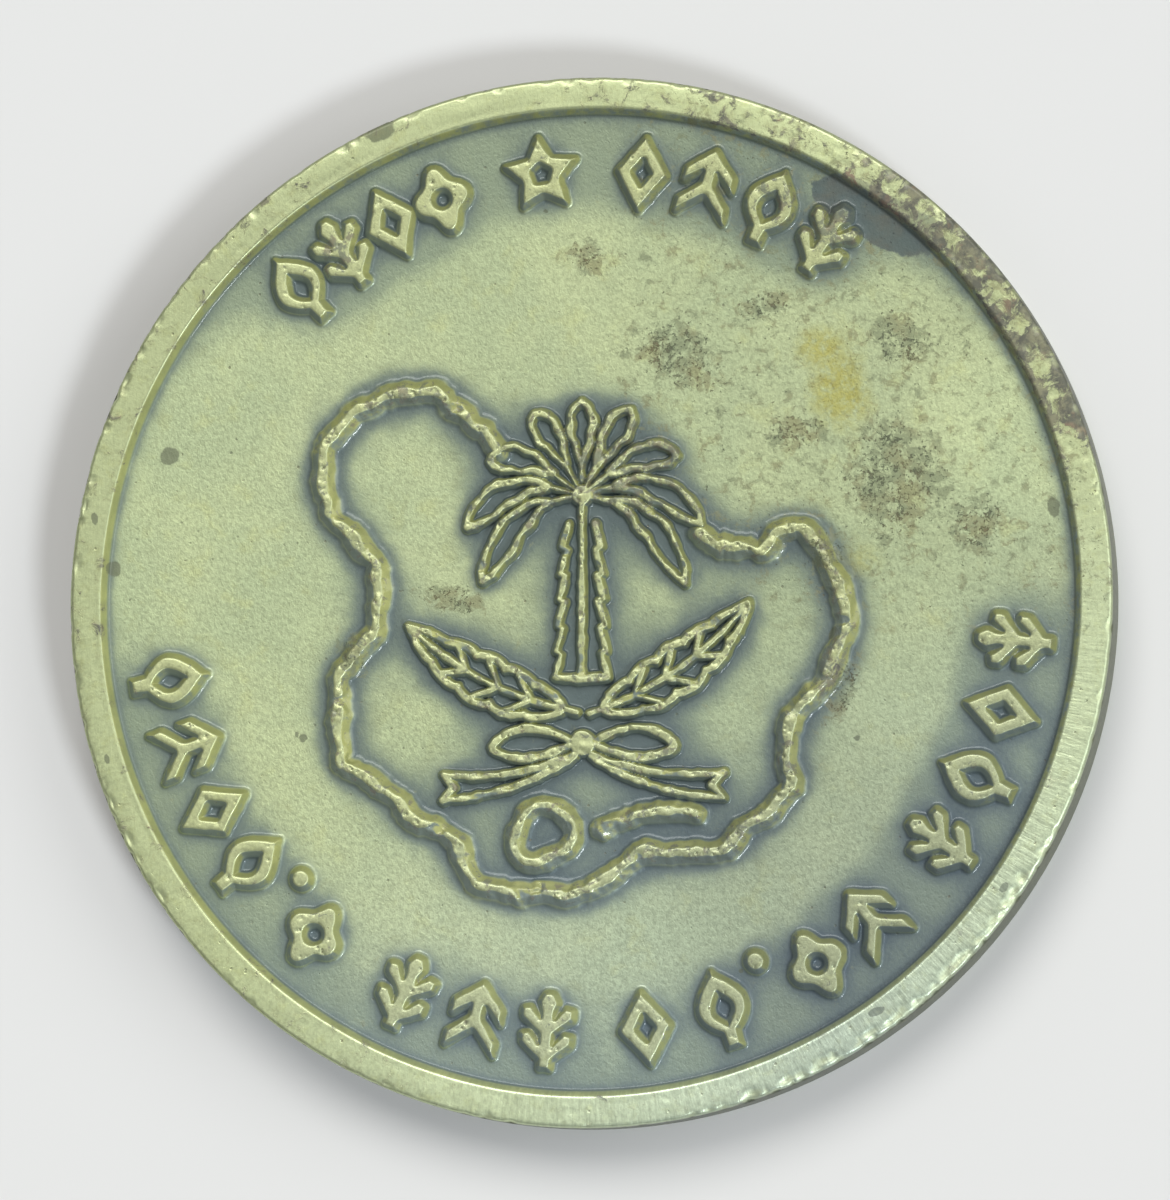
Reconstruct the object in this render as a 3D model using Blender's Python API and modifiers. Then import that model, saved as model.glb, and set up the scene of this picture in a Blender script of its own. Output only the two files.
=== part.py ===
"""Challenge coin: a struck brass disc with a raised rim on both faces, a ring of raised
border ornaments and a raised centre device (palm tree, two long leaves tied with a ribbon, and the
outline of an invented island with a lake and a river).

The coin lies flat. Its origin is the middle of the reverse rim face, +Z points out of the
obverse, and +Y is the top of the obverse design. Run with
blender --background --python part.py, or from the text editor.
"""

import math

import bmesh
import bpy
from mathutils import Vector

# ---------------------------------------------------------------- driving dimensions, in mm
DIAMETER = 38.1          # 1.5 in blank
THICKNESS = 2.8          # over both rims
RIM_WIDTH = 1.40         # flat land and its inner slope
RIM_RISE = 0.40          # rim above the field, each face
RIM_INNER_SLOPE = 0.16   # plan width of the rim's drafted inner wall
RIM_OUTER_ROUND = 0.18   # plan width of the rounded outer corner
SEAT = 0.02              # clearance between a struck feature and the field it stands on
RELIEF = 0.36            # device and ornament height above the field
DRAFT = 0.07             # plan width of the sloping top edge of a device
DRAFT_RISE = 0.12        # height of that slope
TURN_STEPS = 96          # facets round the disc

BORDER_RADIUS = 15.60    # centre line of the border ornaments
ORNAMENT_HEIGHT = 2.76
TOP = ORNAMENT_HEIGHT / 2

HUB = (-0.15, 3.80)      # crown of the palm
TRUNK_FOOT = -2.90
TRUNK_HEAD = 2.75
COAST_STROKE = 0.62      # base width of the coastline ridge

MM = 0.001
FIELD_TOP = THICKNESS - RIM_RISE     # obverse field plane
FIELD_BACK = RIM_RISE                # reverse field plane


# ---------------------------------------------------------------- scene and collections
for old in list(bpy.data.objects):
    bpy.data.objects.remove(old)
coin_collection = bpy.data.collections.new("challenge_coin")
bpy.context.scene.collection.children.link(coin_collection)


def metal(name, colour, roughness):
    material = bpy.data.materials.new(name)
    material.use_nodes = True
    shader = material.node_tree.nodes["Principled BSDF"]
    shader.inputs["Base Color"].default_value = (*colour, 1.0)
    shader.inputs["Roughness"].default_value = roughness
    shader.inputs["Metallic"].default_value = 1.0
    material.diffuse_color = (*colour, 1.0)
    return material


FIELD_BRASS = metal("matt_field_brass", (0.47, 0.46, 0.27), 0.45)
RIM_BRASS = metal("rubbed_rim_brass", (0.58, 0.56, 0.33), 0.30)
DEVICE_BRASS = metal("rubbed_device_brass", (0.55, 0.53, 0.30), 0.32)

coin = bpy.data.objects.new("coin_frame", None)
coin_collection.objects.link(coin)


def add_object(name, mesh, material, location=(0, 0, 0), turn=0.0):
    obj = bpy.data.objects.new(name, mesh)
    obj.location = [v * MM for v in location]
    obj.rotation_euler = (0, 0, turn)
    obj.parent = coin
    coin_collection.objects.link(obj)
    if not mesh.materials:
        mesh.materials.append(material)
    return obj


# ---------------------------------------------------------------- turned pieces
def turned(name, profile, material, closed_ring):
    """A profile of (radius, z) turned about Z. A disc's profile starts and ends on the axis."""
    mesh = bpy.data.meshes.new(name)
    points = [(r * MM, 0, z * MM) for r, z in profile]
    edges = [(i, i + 1) for i in range(len(points) - 1)]
    if closed_ring:
        edges.append((len(points) - 1, 0))
    mesh.from_pydata(points, edges, [])
    obj = add_object(name, mesh, material)
    screw = obj.modifiers.new("turn", "SCREW")
    screw.axis = "Z"
    screw.angle = 2 * math.pi
    screw.steps = TURN_STEPS
    screw.render_steps = TURN_STEPS
    screw.use_merge_vertices = True
    screw.merge_threshold = 0.000005
    screw.use_smooth_shade = False
    return obj


RADIUS = DIAMETER / 2
BACK_EDGE = 0.06         # slight barrel of the coin's edge, plan depth

turned(
    "coin_blank",
    [
        (0, FIELD_TOP - SEAT / 2),
        (RADIUS - BACK_EDGE, FIELD_TOP - SEAT / 2),
        (RADIUS, THICKNESS / 2 + 0.35),
        (RADIUS, THICKNESS / 2 - 0.35),
        (RADIUS - BACK_EDGE, FIELD_BACK + SEAT / 2),
        (0, FIELD_BACK + SEAT / 2),
    ],
    FIELD_BRASS,
    closed_ring=False,
)


def rim_profile(field, top):
    """Closed section of a rim ring between the field plane and the rim's top plane."""
    up = 1 if top > field else -1
    inner_foot = RADIUS - RIM_WIDTH
    section = [
        (RADIUS - BACK_EDGE, field + up * SEAT / 2),
        (inner_foot, field + up * SEAT / 2),
        (inner_foot, field + up * 0.10),
        (inner_foot + RIM_INNER_SLOPE, top - up * 0.04),
        (inner_foot + RIM_INNER_SLOPE + 0.06, top),
        (RADIUS - RIM_OUTER_ROUND, top),
        (RADIUS - RIM_OUTER_ROUND * 0.38, top - up * RIM_OUTER_ROUND * 0.25),
        (RADIUS - BACK_EDGE, top - up * RIM_OUTER_ROUND * 0.75),
    ]
    return section if up > 0 else section[::-1]


turned("obverse_rim", rim_profile(FIELD_TOP, THICKNESS), RIM_BRASS, closed_ring=True)
turned("reverse_rim", rim_profile(FIELD_BACK, 0.0), RIM_BRASS, closed_ring=True)


# ---------------------------------------------------------------- flat relief pieces
def relief_mesh(name, loops):
    """A raised device: a flat outline, first loop outside and the rest holes, extruded from
    z = 0 to the device's height, with its top edge drafted inwards."""
    curve = bpy.data.curves.new(name + "_outline", "CURVE")
    curve.dimensions = "2D"
    curve.fill_mode = "BOTH"
    wall = RELIEF - DRAFT_RISE
    curve.extrude = wall / 2 * MM
    for loop in loops:
        spline = curve.splines.new("POLY")
        spline.points.add(len(loop) - 1)
        for point, (x, y) in zip(spline.points, loop):
            point.co = (x * MM, y * MM, 0, 1)
        spline.use_cyclic_u = True
    guide = bpy.data.objects.new(name + "_guide", curve)
    bpy.context.scene.collection.objects.link(guide)
    bpy.context.view_layer.update()
    graph = bpy.context.evaluated_depsgraph_get()
    mesh = bpy.data.meshes.new_from_object(guide.evaluated_get(graph))
    bpy.data.objects.remove(guide)
    shape = bmesh.new()
    shape.from_mesh(mesh)
    bmesh.ops.remove_doubles(shape, verts=shape.verts, dist=1e-7)
    bmesh.ops.recalc_face_normals(shape, faces=shape.faces)
    for vert in shape.verts:
        vert.co.z += wall / 2 * MM
    caps = [f for f in shape.faces if f.normal.z > 0.5]
    bmesh.ops.inset_region(
        shape,
        faces=caps,
        thickness=DRAFT * MM,
        depth=DRAFT_RISE * MM,
        use_boundary=True,
        use_even_offset=False,
    )
    # the flat top is filled again from its own inset outline, so that no thin triangle folds over
    top = {f for f in shape.faces if all(v.co.z > (RELIEF - 0.01) * MM for v in f.verts)}
    inside = {e for f in top for e in f.edges if all(g in top for g in e.link_faces)}
    outline = {e for f in top for e in f.edges} - inside
    bmesh.ops.delete(shape, geom=list(top), context="FACES_ONLY")
    bmesh.ops.delete(shape, geom=list(inside), context="EDGES")
    bmesh.ops.triangle_fill(shape, use_beauty=True, use_dissolve=False, edges=list(outline), normal=(0, 0, 1))
    bmesh.ops.recalc_face_normals(shape, faces=shape.faces)
    shape.to_mesh(mesh)
    shape.free()
    mesh.name = name
    return mesh


def arc(cx, cy, radius, start, end, count):
    """Points of a circular arc, angles in degrees, both ends included."""
    return [
        (
            cx + radius * math.cos(math.radians(start + (end - start) * i / (count - 1))),
            cy + radius * math.sin(math.radians(start + (end - start) * i / (count - 1))),
        )
        for i in range(count)
    ]


def sideways(points, i, closed=False):
    """Unit normal to the left of a path at point i."""
    n = len(points)
    a = points[(i - 1) % n] if closed else points[max(i - 1, 0)]
    b = points[(i + 1) % n] if closed else points[min(i + 1, n - 1)]
    dx, dy = b[0] - a[0], b[1] - a[1]
    length = math.hypot(dx, dy)
    return -dy / length, dx / length


def ridge(points, half_width):
    """Outline of an open stroke with rounded ends."""
    left, right = [], []
    for i, (x, y) in enumerate(points):
        nx, ny = sideways(points, i)
        left.append((x + nx * half_width, y + ny * half_width))
        right.append((x - nx * half_width, y - ny * half_width))
    nx, ny = sideways(points, 0)
    back = math.degrees(math.atan2(ny, nx))
    nx, ny = sideways(points, len(points) - 1)
    front = math.degrees(math.atan2(ny, nx))
    head = arc(*points[-1], half_width, front, front - 180, 5)[1:-1]
    tail = arc(*points[0], half_width, back + 180, back, 5)[1:-1]
    return [left + head + right[::-1] + tail]


def closed_ridge(points, half_width):
    """Outer and inner outline of a closed stroke, points running counter-clockwise."""
    outer, inner = [], []
    for i, (x, y) in enumerate(points):
        nx, ny = sideways(points, i, closed=True)
        outer.append((x - nx * half_width, y - ny * half_width))
        inner.append((x + nx * half_width, y + ny * half_width))
    return [outer, inner]


def blade(path, width, stroke, start=0.0, end=1.0, count=13, sharpness=1.0):
    """A leaf-shaped loop along a path function: its outer outline and the hollow inside it.
    width(t) is the half width at the stroke's middle line."""
    outer_left, outer_right, inner_left, inner_right = [], [], [], []
    steps = [start + (end - start) * i / (count - 1) for i in range(count)]
    centre = [path(t) for t in steps]
    for i, t in enumerate(steps):
        nx, ny = sideways(centre, i)
        x, y = centre[i]
        half = width(t)
        reach = half + stroke / 2 * sharpness
        outer_left.append((x + nx * reach, y + ny * reach))
        outer_right.append((x - nx * reach, y - ny * reach))
        if half > stroke / 2 + 0.10:
            reach = half - stroke / 2
            inner_left.append((x + nx * reach, y + ny * reach))
            inner_right.append((x - nx * reach, y - ny * reach))
    loops = [outer_left + outer_right[::-1]]
    if len(inner_left) > 2:
        loops.append(inner_left + inner_right[::-1])
    return loops


# ---------------------------------------------------------------- border ornaments
def star_ornament():
    """A five-pointed star with a hollow middle."""
    loop, hollow = [], []
    for i in range(10):
        r = 1.42 if i % 2 == 0 else 0.74
        a = math.radians(90 + 36 * i)
        loop.append((r * math.cos(a), r * math.sin(a)))
    for i in range(5):
        a = math.radians(90 + 72 * i)
        hollow.append((0.40 * math.cos(a), 0.40 * math.sin(a)))
    return [loop, hollow]


def leaf_ornament():
    """A pointed leaf outline on a short stalk."""
    stalk, count = 0.25, 13
    right, inner = [], []
    for i in range(1, count):
        t = i / count
        w = 0.90 * math.sin(math.pi * t**1.1) ** 0.85
        if w < stalk and t > 0.5:
            break
        right.append((w, TOP - 2.40 * t))
    right.append((stalk, -TOP))
    for i in range(1, 8):
        t = i / 8
        inner.append((0.38 * math.sin(math.pi * t**1.1) ** 0.9, 0.62 - 1.16 * t))
    outer = [(0, TOP + 0.08)] + right + [(-x, y) for x, y in right[::-1]]
    hollow = [(0, 0.66)] + inner + [(0, -0.58)] + [(-x, y) for x, y in inner[::-1]]
    return [outer, hollow]


def lozenge_ornament():
    """A diamond frame."""
    outer = [(0, TOP), (-0.96, 0), (0, -TOP), (0.96, 0)]
    hollow = [(0, 0.52), (-0.37, 0), (0, -0.52), (0.37, 0)]
    return [outer, hollow]


def sprig_ornament():
    """A stalk with two pairs of rising leaflets and a bud on top."""
    stem = 0.24
    right = [(0.16, TOP), (0.36, 1.02), (stem, 0.66)]
    for foot in (0.02, -0.90):
        right += [
            (stem, foot + 0.38),
            (0.62, foot + 0.86),
            (0.94, foot + 0.80),
            (0.94, foot + 0.44),
            (stem, foot - 0.14),
        ]
    right.append((stem, -TOP))
    return [right + [(-x, y) for x, y in right[::-1]]]


def chevron_ornament():
    """Two stacked chevrons joined by a short spine."""
    w, band = 0.94, 0.56
    right = [(0, TOP), (w, 0.50), (w, 0.50 - band), (0.24, 0.54), (0.24, 0.04), (w, -0.66), (w, -0.66 - band), (0, -0.36)]
    left = [(-x, y) for x, y in right[1:-1][::-1]]
    return [right + left]


def rosette_ornament():
    """Four petals round a hollow."""
    outer = []
    for i in range(24):
        a = 2 * math.pi * i / 24
        r = 1.00 + 0.18 * math.cos(4 * a - math.pi)
        outer.append((0.90 * r * math.cos(a + math.pi / 4), 1.06 * r * math.sin(a + math.pi / 4)))
    return [outer, arc(0, 0, 0.34, 0, 315, 8)]


def pellet_ornament():
    return [arc(0, 0, 0.36, 0, 330, 12)]


ORNAMENTS = {
    "star": star_ornament,
    "leaf": leaf_ornament,
    "lozenge": lozenge_ornament,
    "sprig": sprig_ornament,
    "chevron": chevron_ornament,
    "rosette": rosette_ornament,
    "pellet": pellet_ornament,
}
ornament_meshes = {kind: relief_mesh(kind + "_ornament", make()) for kind, make in ORNAMENTS.items()}

# Upper arc: clockwise angle from the top of the coin. Lower arc: angle from the bottom,
# positive to the right. Lower ornaments stand with their feet on the rim.
UPPER_ARC = [
    ("leaf", -42.4), ("sprig", -34.9), ("lozenge", -27.4), ("rosette", -19.8),
    ("star", -6.0),
    ("lozenge", 7.6), ("chevron", 16.5), ("leaf", 25.4), ("sprig", 34.2),
]
LOWER_ARC = [
    ("leaf", -79.8), ("chevron", -70.4), ("lozenge", -61.2), ("leaf", -52.6), ("pellet", -46.2),
    ("rosette", -39.6),
    ("sprig", -25.0), ("chevron", -14.9), ("sprig", -5.2),
    ("lozenge", 8.0), ("leaf", 18.6), ("pellet", 25.2), ("rosette", 32.4), ("chevron", 41.6),
    ("sprig", 55.3), ("leaf", 64.9), ("lozenge", 74.2), ("sprig", 83.8),
]
seat_z = FIELD_TOP + SEAT / 2


def place_ornaments(prefix, arc_list, lower):
    seen = {}
    for kind, angle in arc_list:
        seen[kind] = seen.get(kind, 0) + 1
        a = math.radians(angle)
        radius = BORDER_RADIUS - (1.15 if kind == "pellet" and lower else 0)
        if lower:
            x, y, turn = radius * math.sin(a), -radius * math.cos(a), a
        else:
            x, y, turn = radius * math.sin(a), radius * math.cos(a), -a
        add_object(
            f"{prefix}_{kind}_{seen[kind]}",
            ornament_meshes[kind],
            DEVICE_BRASS,
            (x, y, seat_z),
            turn,
        )


place_ornaments("upper", UPPER_ARC, lower=False)
place_ornaments("lower", LOWER_ARC, lower=True)


# ---------------------------------------------------------------- palm tree
FROND_STROKE = 0.34
FROND_ROOT = 1.26        # distance of a frond's root from the hub
# direction in degrees, length, sag of the tip
FRONDS = [
    (90, 3.35, 0.00),
    (62, 3.75, 0.30),
    (36, 4.20, 1.15),
    (13, 4.40, 2.05),
    (-12, 3.80, 2.35),
    (118, 3.65, 0.30),
    (144, 4.10, 1.15),
    (167, 4.25, 2.00),
    (192, 3.65, 2.25),
]


def frond_path(direction, length, sag):
    """A frond's rib: straight out of the crown, then sagging under its own weight."""
    a = math.radians(direction)

    def path(t):
        along = FROND_ROOT + (length - FROND_ROOT) * t
        return HUB[0] + along * math.cos(a), HUB[1] + along * math.sin(a) - sag * t * t

    return path


def frond_width(t):
    """Narrow at the root, widest past the middle, blunt at the tip."""
    return 0.05 + 0.345 * math.sin(math.pi * t**1.5) ** 0.85 if 0 < t < 1 else 0.05


for number, (direction, length, sag) in enumerate(FRONDS, 1):
    loops = blade(frond_path(direction, length, sag), frond_width, FROND_STROKE, count=12)
    add_object(
        f"palm_frond_{number}",
        relief_mesh(f"palm_frond_{number}", loops),
        DEVICE_BRASS,
        (0, 0, seat_z),
    )

add_object("palm_crown", relief_mesh("palm_crown", [arc(0, 0, 0.72, 0, 330, 12)]), DEVICE_BRASS, (*HUB, seat_z))


def trunk_loops():
    """A tapering trunk with stepped bark on both sides and two long grooves."""
    rings = 6
    step = (TRUNK_HEAD - TRUNK_FOOT) / rings
    right = []
    for i in range(rings):
        y = TRUNK_HEAD - i * step
        width = 0.62 + 0.05 * i
        right += [(width + 0.16, y), (width - 0.04, y - step * 0.92)]
    right[0] = (0.56, TRUNK_HEAD)
    outer = [(HUB[0] + x, y) for x, y in right] + [(HUB[0] - x, y) for x, y in right[::-1]]
    grooves = []
    for side in (1, -1):
        groove = [
            (HUB[0] + side * 0.16, TRUNK_HEAD - 0.70),
            (HUB[0] + side * 0.16, TRUNK_FOOT + 0.42),
            (HUB[0] + side * 0.50, TRUNK_FOOT + 0.42),
            (HUB[0] + side * 0.34, TRUNK_HEAD - 0.70),
        ]
        grooves.append(groove)
    return [outer, *grooves]


add_object("palm_trunk", relief_mesh("palm_trunk", trunk_loops()), DEVICE_BRASS, (0, 0, seat_z))


# ---------------------------------------------------------------- pair of long leaves
def bowed_path(start, end, bow):
    """A shallow arc from start to end, bowed to its left by bow."""
    dx, dy = end[0] - start[0], end[1] - start[1]
    length = math.hypot(dx, dy)

    def path(t):
        side = 4 * bow * t * (1 - t)
        return (
            start[0] + dx * t - dy / length * side,
            start[1] + dy * t + dx / length * side,
        )

    return path


def long_leaf(tip, root, bow):
    """A lobed leaf with a midrib: an outline and two rows of hollows, one each side."""
    path = bowed_path(root, tip, bow)
    lobes, steps = 5, 40
    left, right = [], []
    for i in range(1, steps):
        t = i / steps
        here = path(t)
        ahead = path(t + 0.005)
        dx, dy = ahead[0] - here[0], ahead[1] - here[1]
        size = math.hypot(dx, dy)
        lobe = (t * lobes) % 1.0
        half = 0.30 + 0.74 * math.sin(math.pi * t**0.85) ** 0.8 * (0.78 + 0.22 * math.sin(math.pi * lobe) ** 0.6)
        left.append((here[0] - dy / size * half, here[1] + dx / size * half))
        right.append((here[0] + dy / size * half, here[1] - dx / size * half))
    loops = [[path(0.0)] + right + [path(1.04)] + left[::-1]]
    for start, end in ((0.26, 0.41), (0.47, 0.62), (0.68, 0.80)):
        for side in (1, -1):
            hollow = []
            for t, reach in ((start, 0.16), (end - 0.02, 0.16), (end, 0.46), (start + 0.03, 0.46)):
                here = path(t)
                ahead = path(t + 0.005)
                dx, dy = ahead[0] - here[0], ahead[1] - here[1]
                size = math.hypot(dx, dy)
                hollow.append((here[0] - dy / size * reach * side, here[1] + dx / size * reach * side))
            loops.append(hollow)
    return loops


KNOT = (-0.10, -5.20)
add_object("leaf_left", relief_mesh("leaf_left", long_leaf((-6.35, -1.00), (-0.85, -3.95), 0.42)), DEVICE_BRASS, (0, 0, seat_z))
add_object("leaf_right", relief_mesh("leaf_right", long_leaf((5.80, -0.35), (0.65, -3.95), -0.42)), DEVICE_BRASS, (0, 0, seat_z))


# ---------------------------------------------------------------- ribbon that ties the leaves
add_object("ribbon_knot", relief_mesh("ribbon_knot", [arc(0, 0, 0.52, 0, 330, 12)]), DEVICE_BRASS, (*KNOT, seat_z))


def ribbon_loop(direction):
    """One loop of the bow, a drop-shaped ring that starts beside the knot."""
    path = bowed_path((KNOT[0] + 0.74 * direction, KNOT[1] - 0.05), (KNOT[0] + 3.30 * direction, KNOT[1] - 0.15), 0.10 * direction)

    def width(t):
        return 0.10 + 0.46 * math.sin(math.pi * t**1.2) ** 0.7 if 0 < t < 1 else 0.10

    return blade(path, width, 0.36, count=13)


def ribbon_tail(direction):
    """One hanging tail of the bow, a band that widens to a notched end."""
    root = (KNOT[0] + 0.45 * direction, KNOT[1] - 0.66)
    end = (KNOT[0] + 5.10 * direction, KNOT[1] - 1.55)
    path = bowed_path(root, end, -0.32 * direction)
    near, far, hollow_near, hollow_far = [], [], [], []
    count = 13
    for i in range(count):
        t = i / (count - 1)
        here, ahead = path(t), path(t + 0.01)
        dx, dy = ahead[0] - here[0], ahead[1] - here[1]
        size = math.hypot(dx, dy)
        half = 0.18 + 0.42 * t
        near.append((here[0] - dy / size * half, here[1] + dx / size * half))
        far.append((here[0] + dy / size * half, here[1] - dx / size * half))
        if 5 <= i <= count - 3:
            hollow_near.append((here[0] - dy / size * (half - 0.24), here[1] + dx / size * (half - 0.24)))
            hollow_far.append((here[0] + dy / size * (half - 0.24), here[1] - dx / size * (half - 0.24)))
    notch = path(0.93)
    return [near + [notch] + far[::-1], hollow_near + hollow_far[::-1]]


for side, direction in (("left", -1), ("right", 1)):
    add_object(f"ribbon_loop_{side}", relief_mesh(f"ribbon_loop_{side}", ribbon_loop(direction)), DEVICE_BRASS, (0, 0, seat_z))
    add_object(f"ribbon_tail_{side}", relief_mesh(f"ribbon_tail_{side}", ribbon_tail(direction)), DEVICE_BRASS, (0, 0, seat_z))


# ---------------------------------------------------------------- island outline
# An invented island: headlands and bays, counter-clockwise from the bay where the palm stands.
SHORE = [
    (-3.75, 6.05), (-4.9, 7.2), (-7.0, 7.6), (-9.2, 6.2), (-9.6, 3.6), (-8.0, 1.8), (-7.6, -0.4), (-8.9, -2.6),
    (-9.0, -5.4), (-7.0, -7.2), (-5.0, -8.6), (-3.6, -10.3), (-0.6, -10.6), (2.0, -9.3), (5.0, -8.9),
    (7.2, -7.0), (7.5, -4.4), (9.1, -2.2), (9.2, 0.6), (7.6, 2.4), (6.1, 1.7), (4.85, 1.95),
]


def shore_line(pieces=4):
    """Smooth open curve through the shore's points, with small ragged bends on it."""
    points = []
    last = len(SHORE) - 1
    for k in range(last * pieces + 1):
        i, step = divmod(k, pieces)
        t = step / pieces
        p0, p1, p2, p3 = (SHORE[min(max(i + j, 0), last)] for j in (-1, 0, 1, 2))
        x, y = (
            0.5 * (2 * b + (c - a) * t + (2 * a - 5 * b + 4 * c - d) * t * t + (3 * b - a - 3 * c + d) * t**3)
            for a, b, c, d in zip(p0, p1, p2, p3)
        )
        along = i + t
        x += 0.10 * math.sin(5.1 * along + 0.4) + 0.05 * math.sin(11.3 * along)
        y += 0.10 * math.sin(4.3 * along + 2.0) + 0.05 * math.sin(9.7 * along + 1.0)
        points.append((x, y))
    return points


add_object("coastline", relief_mesh("coastline", ridge(shore_line(), COAST_STROKE / 2)), DEVICE_BRASS, (0, 0, seat_z))


def lake_shore():
    points = []
    for i in range(20):
        a = 2 * math.pi * i / 20
        r = 1 + 0.10 * math.sin(2 * a + 0.5) + 0.08 * math.sin(3 * a + 2.2)
        points.append((-1.55 + 0.95 * r * math.cos(a), -8.45 + 1.00 * r * math.sin(a)))
    return points


add_object("lake_shore", relief_mesh("lake_shore", closed_ridge(lake_shore(), 0.30)), DEVICE_BRASS, (0, 0, seat_z))

river = bowed_path((0.55, -8.30), (4.00, -7.75), 0.30)
add_object("river_line", relief_mesh("river_line", ridge([river(i / 7) for i in range(8)], 0.28)), DEVICE_BRASS, (0, 0, seat_z))
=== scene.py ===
"""Looks of a struck antique-brass challenge coin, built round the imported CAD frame.

All shapes are worked out in millimetres in the coin's own frame: z = 0 under the reverse rim,
+Z out of the obverse, +Y to the top of the design. Meshes are made in metres.
"""

import math

import bmesh
import bpy
import numpy as np
from mathutils import Matrix, Vector


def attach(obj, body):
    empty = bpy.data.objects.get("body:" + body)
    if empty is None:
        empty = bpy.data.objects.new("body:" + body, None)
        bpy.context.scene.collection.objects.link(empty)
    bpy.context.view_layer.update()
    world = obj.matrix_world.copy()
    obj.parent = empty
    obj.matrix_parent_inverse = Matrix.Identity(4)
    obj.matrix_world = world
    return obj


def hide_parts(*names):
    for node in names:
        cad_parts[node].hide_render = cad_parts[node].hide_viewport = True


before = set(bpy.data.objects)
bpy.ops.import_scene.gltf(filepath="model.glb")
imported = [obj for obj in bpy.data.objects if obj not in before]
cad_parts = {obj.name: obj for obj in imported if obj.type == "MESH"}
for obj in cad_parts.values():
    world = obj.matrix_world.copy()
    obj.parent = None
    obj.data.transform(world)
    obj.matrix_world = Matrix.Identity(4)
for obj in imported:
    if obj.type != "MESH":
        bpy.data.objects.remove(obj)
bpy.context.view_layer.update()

MM = 0.001
DIAMETER = 38.1
RADIUS = DIAMETER / 2
THICKNESS = 2.8
RIM_RISE = 0.40
FIELD_TOP = THICKNESS - RIM_RISE
RELIEF = 0.36
rng = np.random.RandomState(11)


# ================================================================= numeric helpers
def smooth(t):
    t = np.clip(t, 0.0, 1.0)
    return t * t * (3 - 2 * t)


def ramp(x, low, high):
    return smooth((np.asarray(x, float) - low) / (high - low))


_tables = {}


def value_noise(x, y, scale, seed=0):
    """Smooth lattice noise from -1 to 1; scale is in cells per millimetre."""
    table = _tables.get(seed)
    if table is None:
        table = _tables[seed] = np.random.RandomState(1000 + seed).uniform(-1, 1, (256, 256))
    u, v = np.asarray(x, float) * scale + 517.3, np.asarray(y, float) * scale + 311.7
    iu, iv = np.floor(u).astype(int), np.floor(v).astype(int)
    fu, fv = smooth(u - iu), smooth(v - iv)
    iu, iv, ju, jv = iu % 256, iv % 256, (iu + 1) % 256, (iv + 1) % 256
    low = table[iv, iu] * (1 - fu) + table[iv, ju] * fu
    high = table[jv, iu] * (1 - fu) + table[jv, ju] * fu
    return low * (1 - fv) + high * fv


def fractal(x, y, scale, seed=0, octaves=3):
    total, size, amount = 0.0, 0.0, 1.0
    for k in range(octaves):
        total = total + amount * value_noise(x, y, scale * 2.03**k, seed + k)
        size += amount
        amount *= 0.55
    return total / size


def polygon_distance(x, y, loops):
    """Signed distance to a flat outline: first loop outside, the rest holes. Negative inside."""
    shape = x.shape
    px, py = x.ravel(), y.ravel()
    best = np.full(px.shape, 1e9)
    inside = np.zeros(px.shape, bool)
    for loop in loops:
        pts = np.asarray(loop, float)
        nxt = np.roll(pts, -1, axis=0)
        for (ax, ay), (bx, by) in zip(pts, nxt):
            dx, dy = bx - ax, by - ay
            length = dx * dx + dy * dy
            if length < 1e-12:
                continue
            t = np.clip(((px - ax) * dx + (py - ay) * dy) / length, 0, 1)
            best = np.minimum(best, (px - ax - t * dx) ** 2 + (py - ay - t * dy) ** 2)
            cross = (ay > py) != (by > py)
            if dy != 0:
                inside ^= cross & (px < ax + (py - ay) * dx / dy)
    distance = np.sqrt(best)
    return np.where(inside, -distance, distance).reshape(shape)


def stroke_distance(x, y, points, half_widths):
    """Distance to a line of varying half width. Negative inside."""
    best = np.full(x.shape, 1e9)
    for (ax, ay), (bx, by), ha, hb in zip(points[:-1], points[1:], half_widths[:-1], half_widths[1:]):
        dx, dy = bx - ax, by - ay
        length = dx * dx + dy * dy
        if length < 1e-12:
            continue
        t = np.clip(((x - ax) * dx + (y - ay) * dy) / length, 0, 1)
        d = np.hypot(x - ax - t * dx, y - ay - t * dy) - (ha + (hb - ha) * t)
        best = np.minimum(best, d)
    return best


# ================================================================= outlines of the devices
ORNAMENT_HEIGHT = 2.76
TOP = ORNAMENT_HEIGHT / 2
BORDER_RADIUS = 15.60
HUB = (-0.15, 3.80)
TRUNK_FOOT, TRUNK_HEAD = -2.90, 2.75
KNOT = (-0.10, -5.20)


def arc(cx, cy, radius, start, end, count):
    return [
        (
            cx + radius * math.cos(math.radians(start + (end - start) * i / (count - 1))),
            cy + radius * math.sin(math.radians(start + (end - start) * i / (count - 1))),
        )
        for i in range(count)
    ]


def rounded(loop, reach=0.10, steps=3):
    """The same outline with each corner cut to a short curve."""
    pts = [np.array(p, float) for p in loop]
    out = []
    for i, p in enumerate(pts):
        a, b = pts[i - 1], pts[(i + 1) % len(pts)]
        la, lb = np.linalg.norm(a - p), np.linalg.norm(b - p)
        if la < 1e-6 or lb < 1e-6:
            continue
        start = p + (a - p) / la * min(reach, la * 0.45)
        end = p + (b - p) / lb * min(reach, lb * 0.45)
        for k in range(steps + 1):
            t = k / steps
            out.append(tuple((1 - t) ** 2 * start + 2 * t * (1 - t) * p + t * t * end))
    return out


def star_ornament():
    loop, hollow = [], []
    for i in range(10):
        r = 1.42 if i % 2 == 0 else 0.74
        a = math.radians(90 + 36 * i)
        loop.append((r * math.cos(a), r * math.sin(a)))
    for i in range(5):
        a = math.radians(90 + 72 * i)
        hollow.append((0.40 * math.cos(a), 0.40 * math.sin(a)))
    return [rounded(loop), rounded(hollow, 0.08)]


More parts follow.
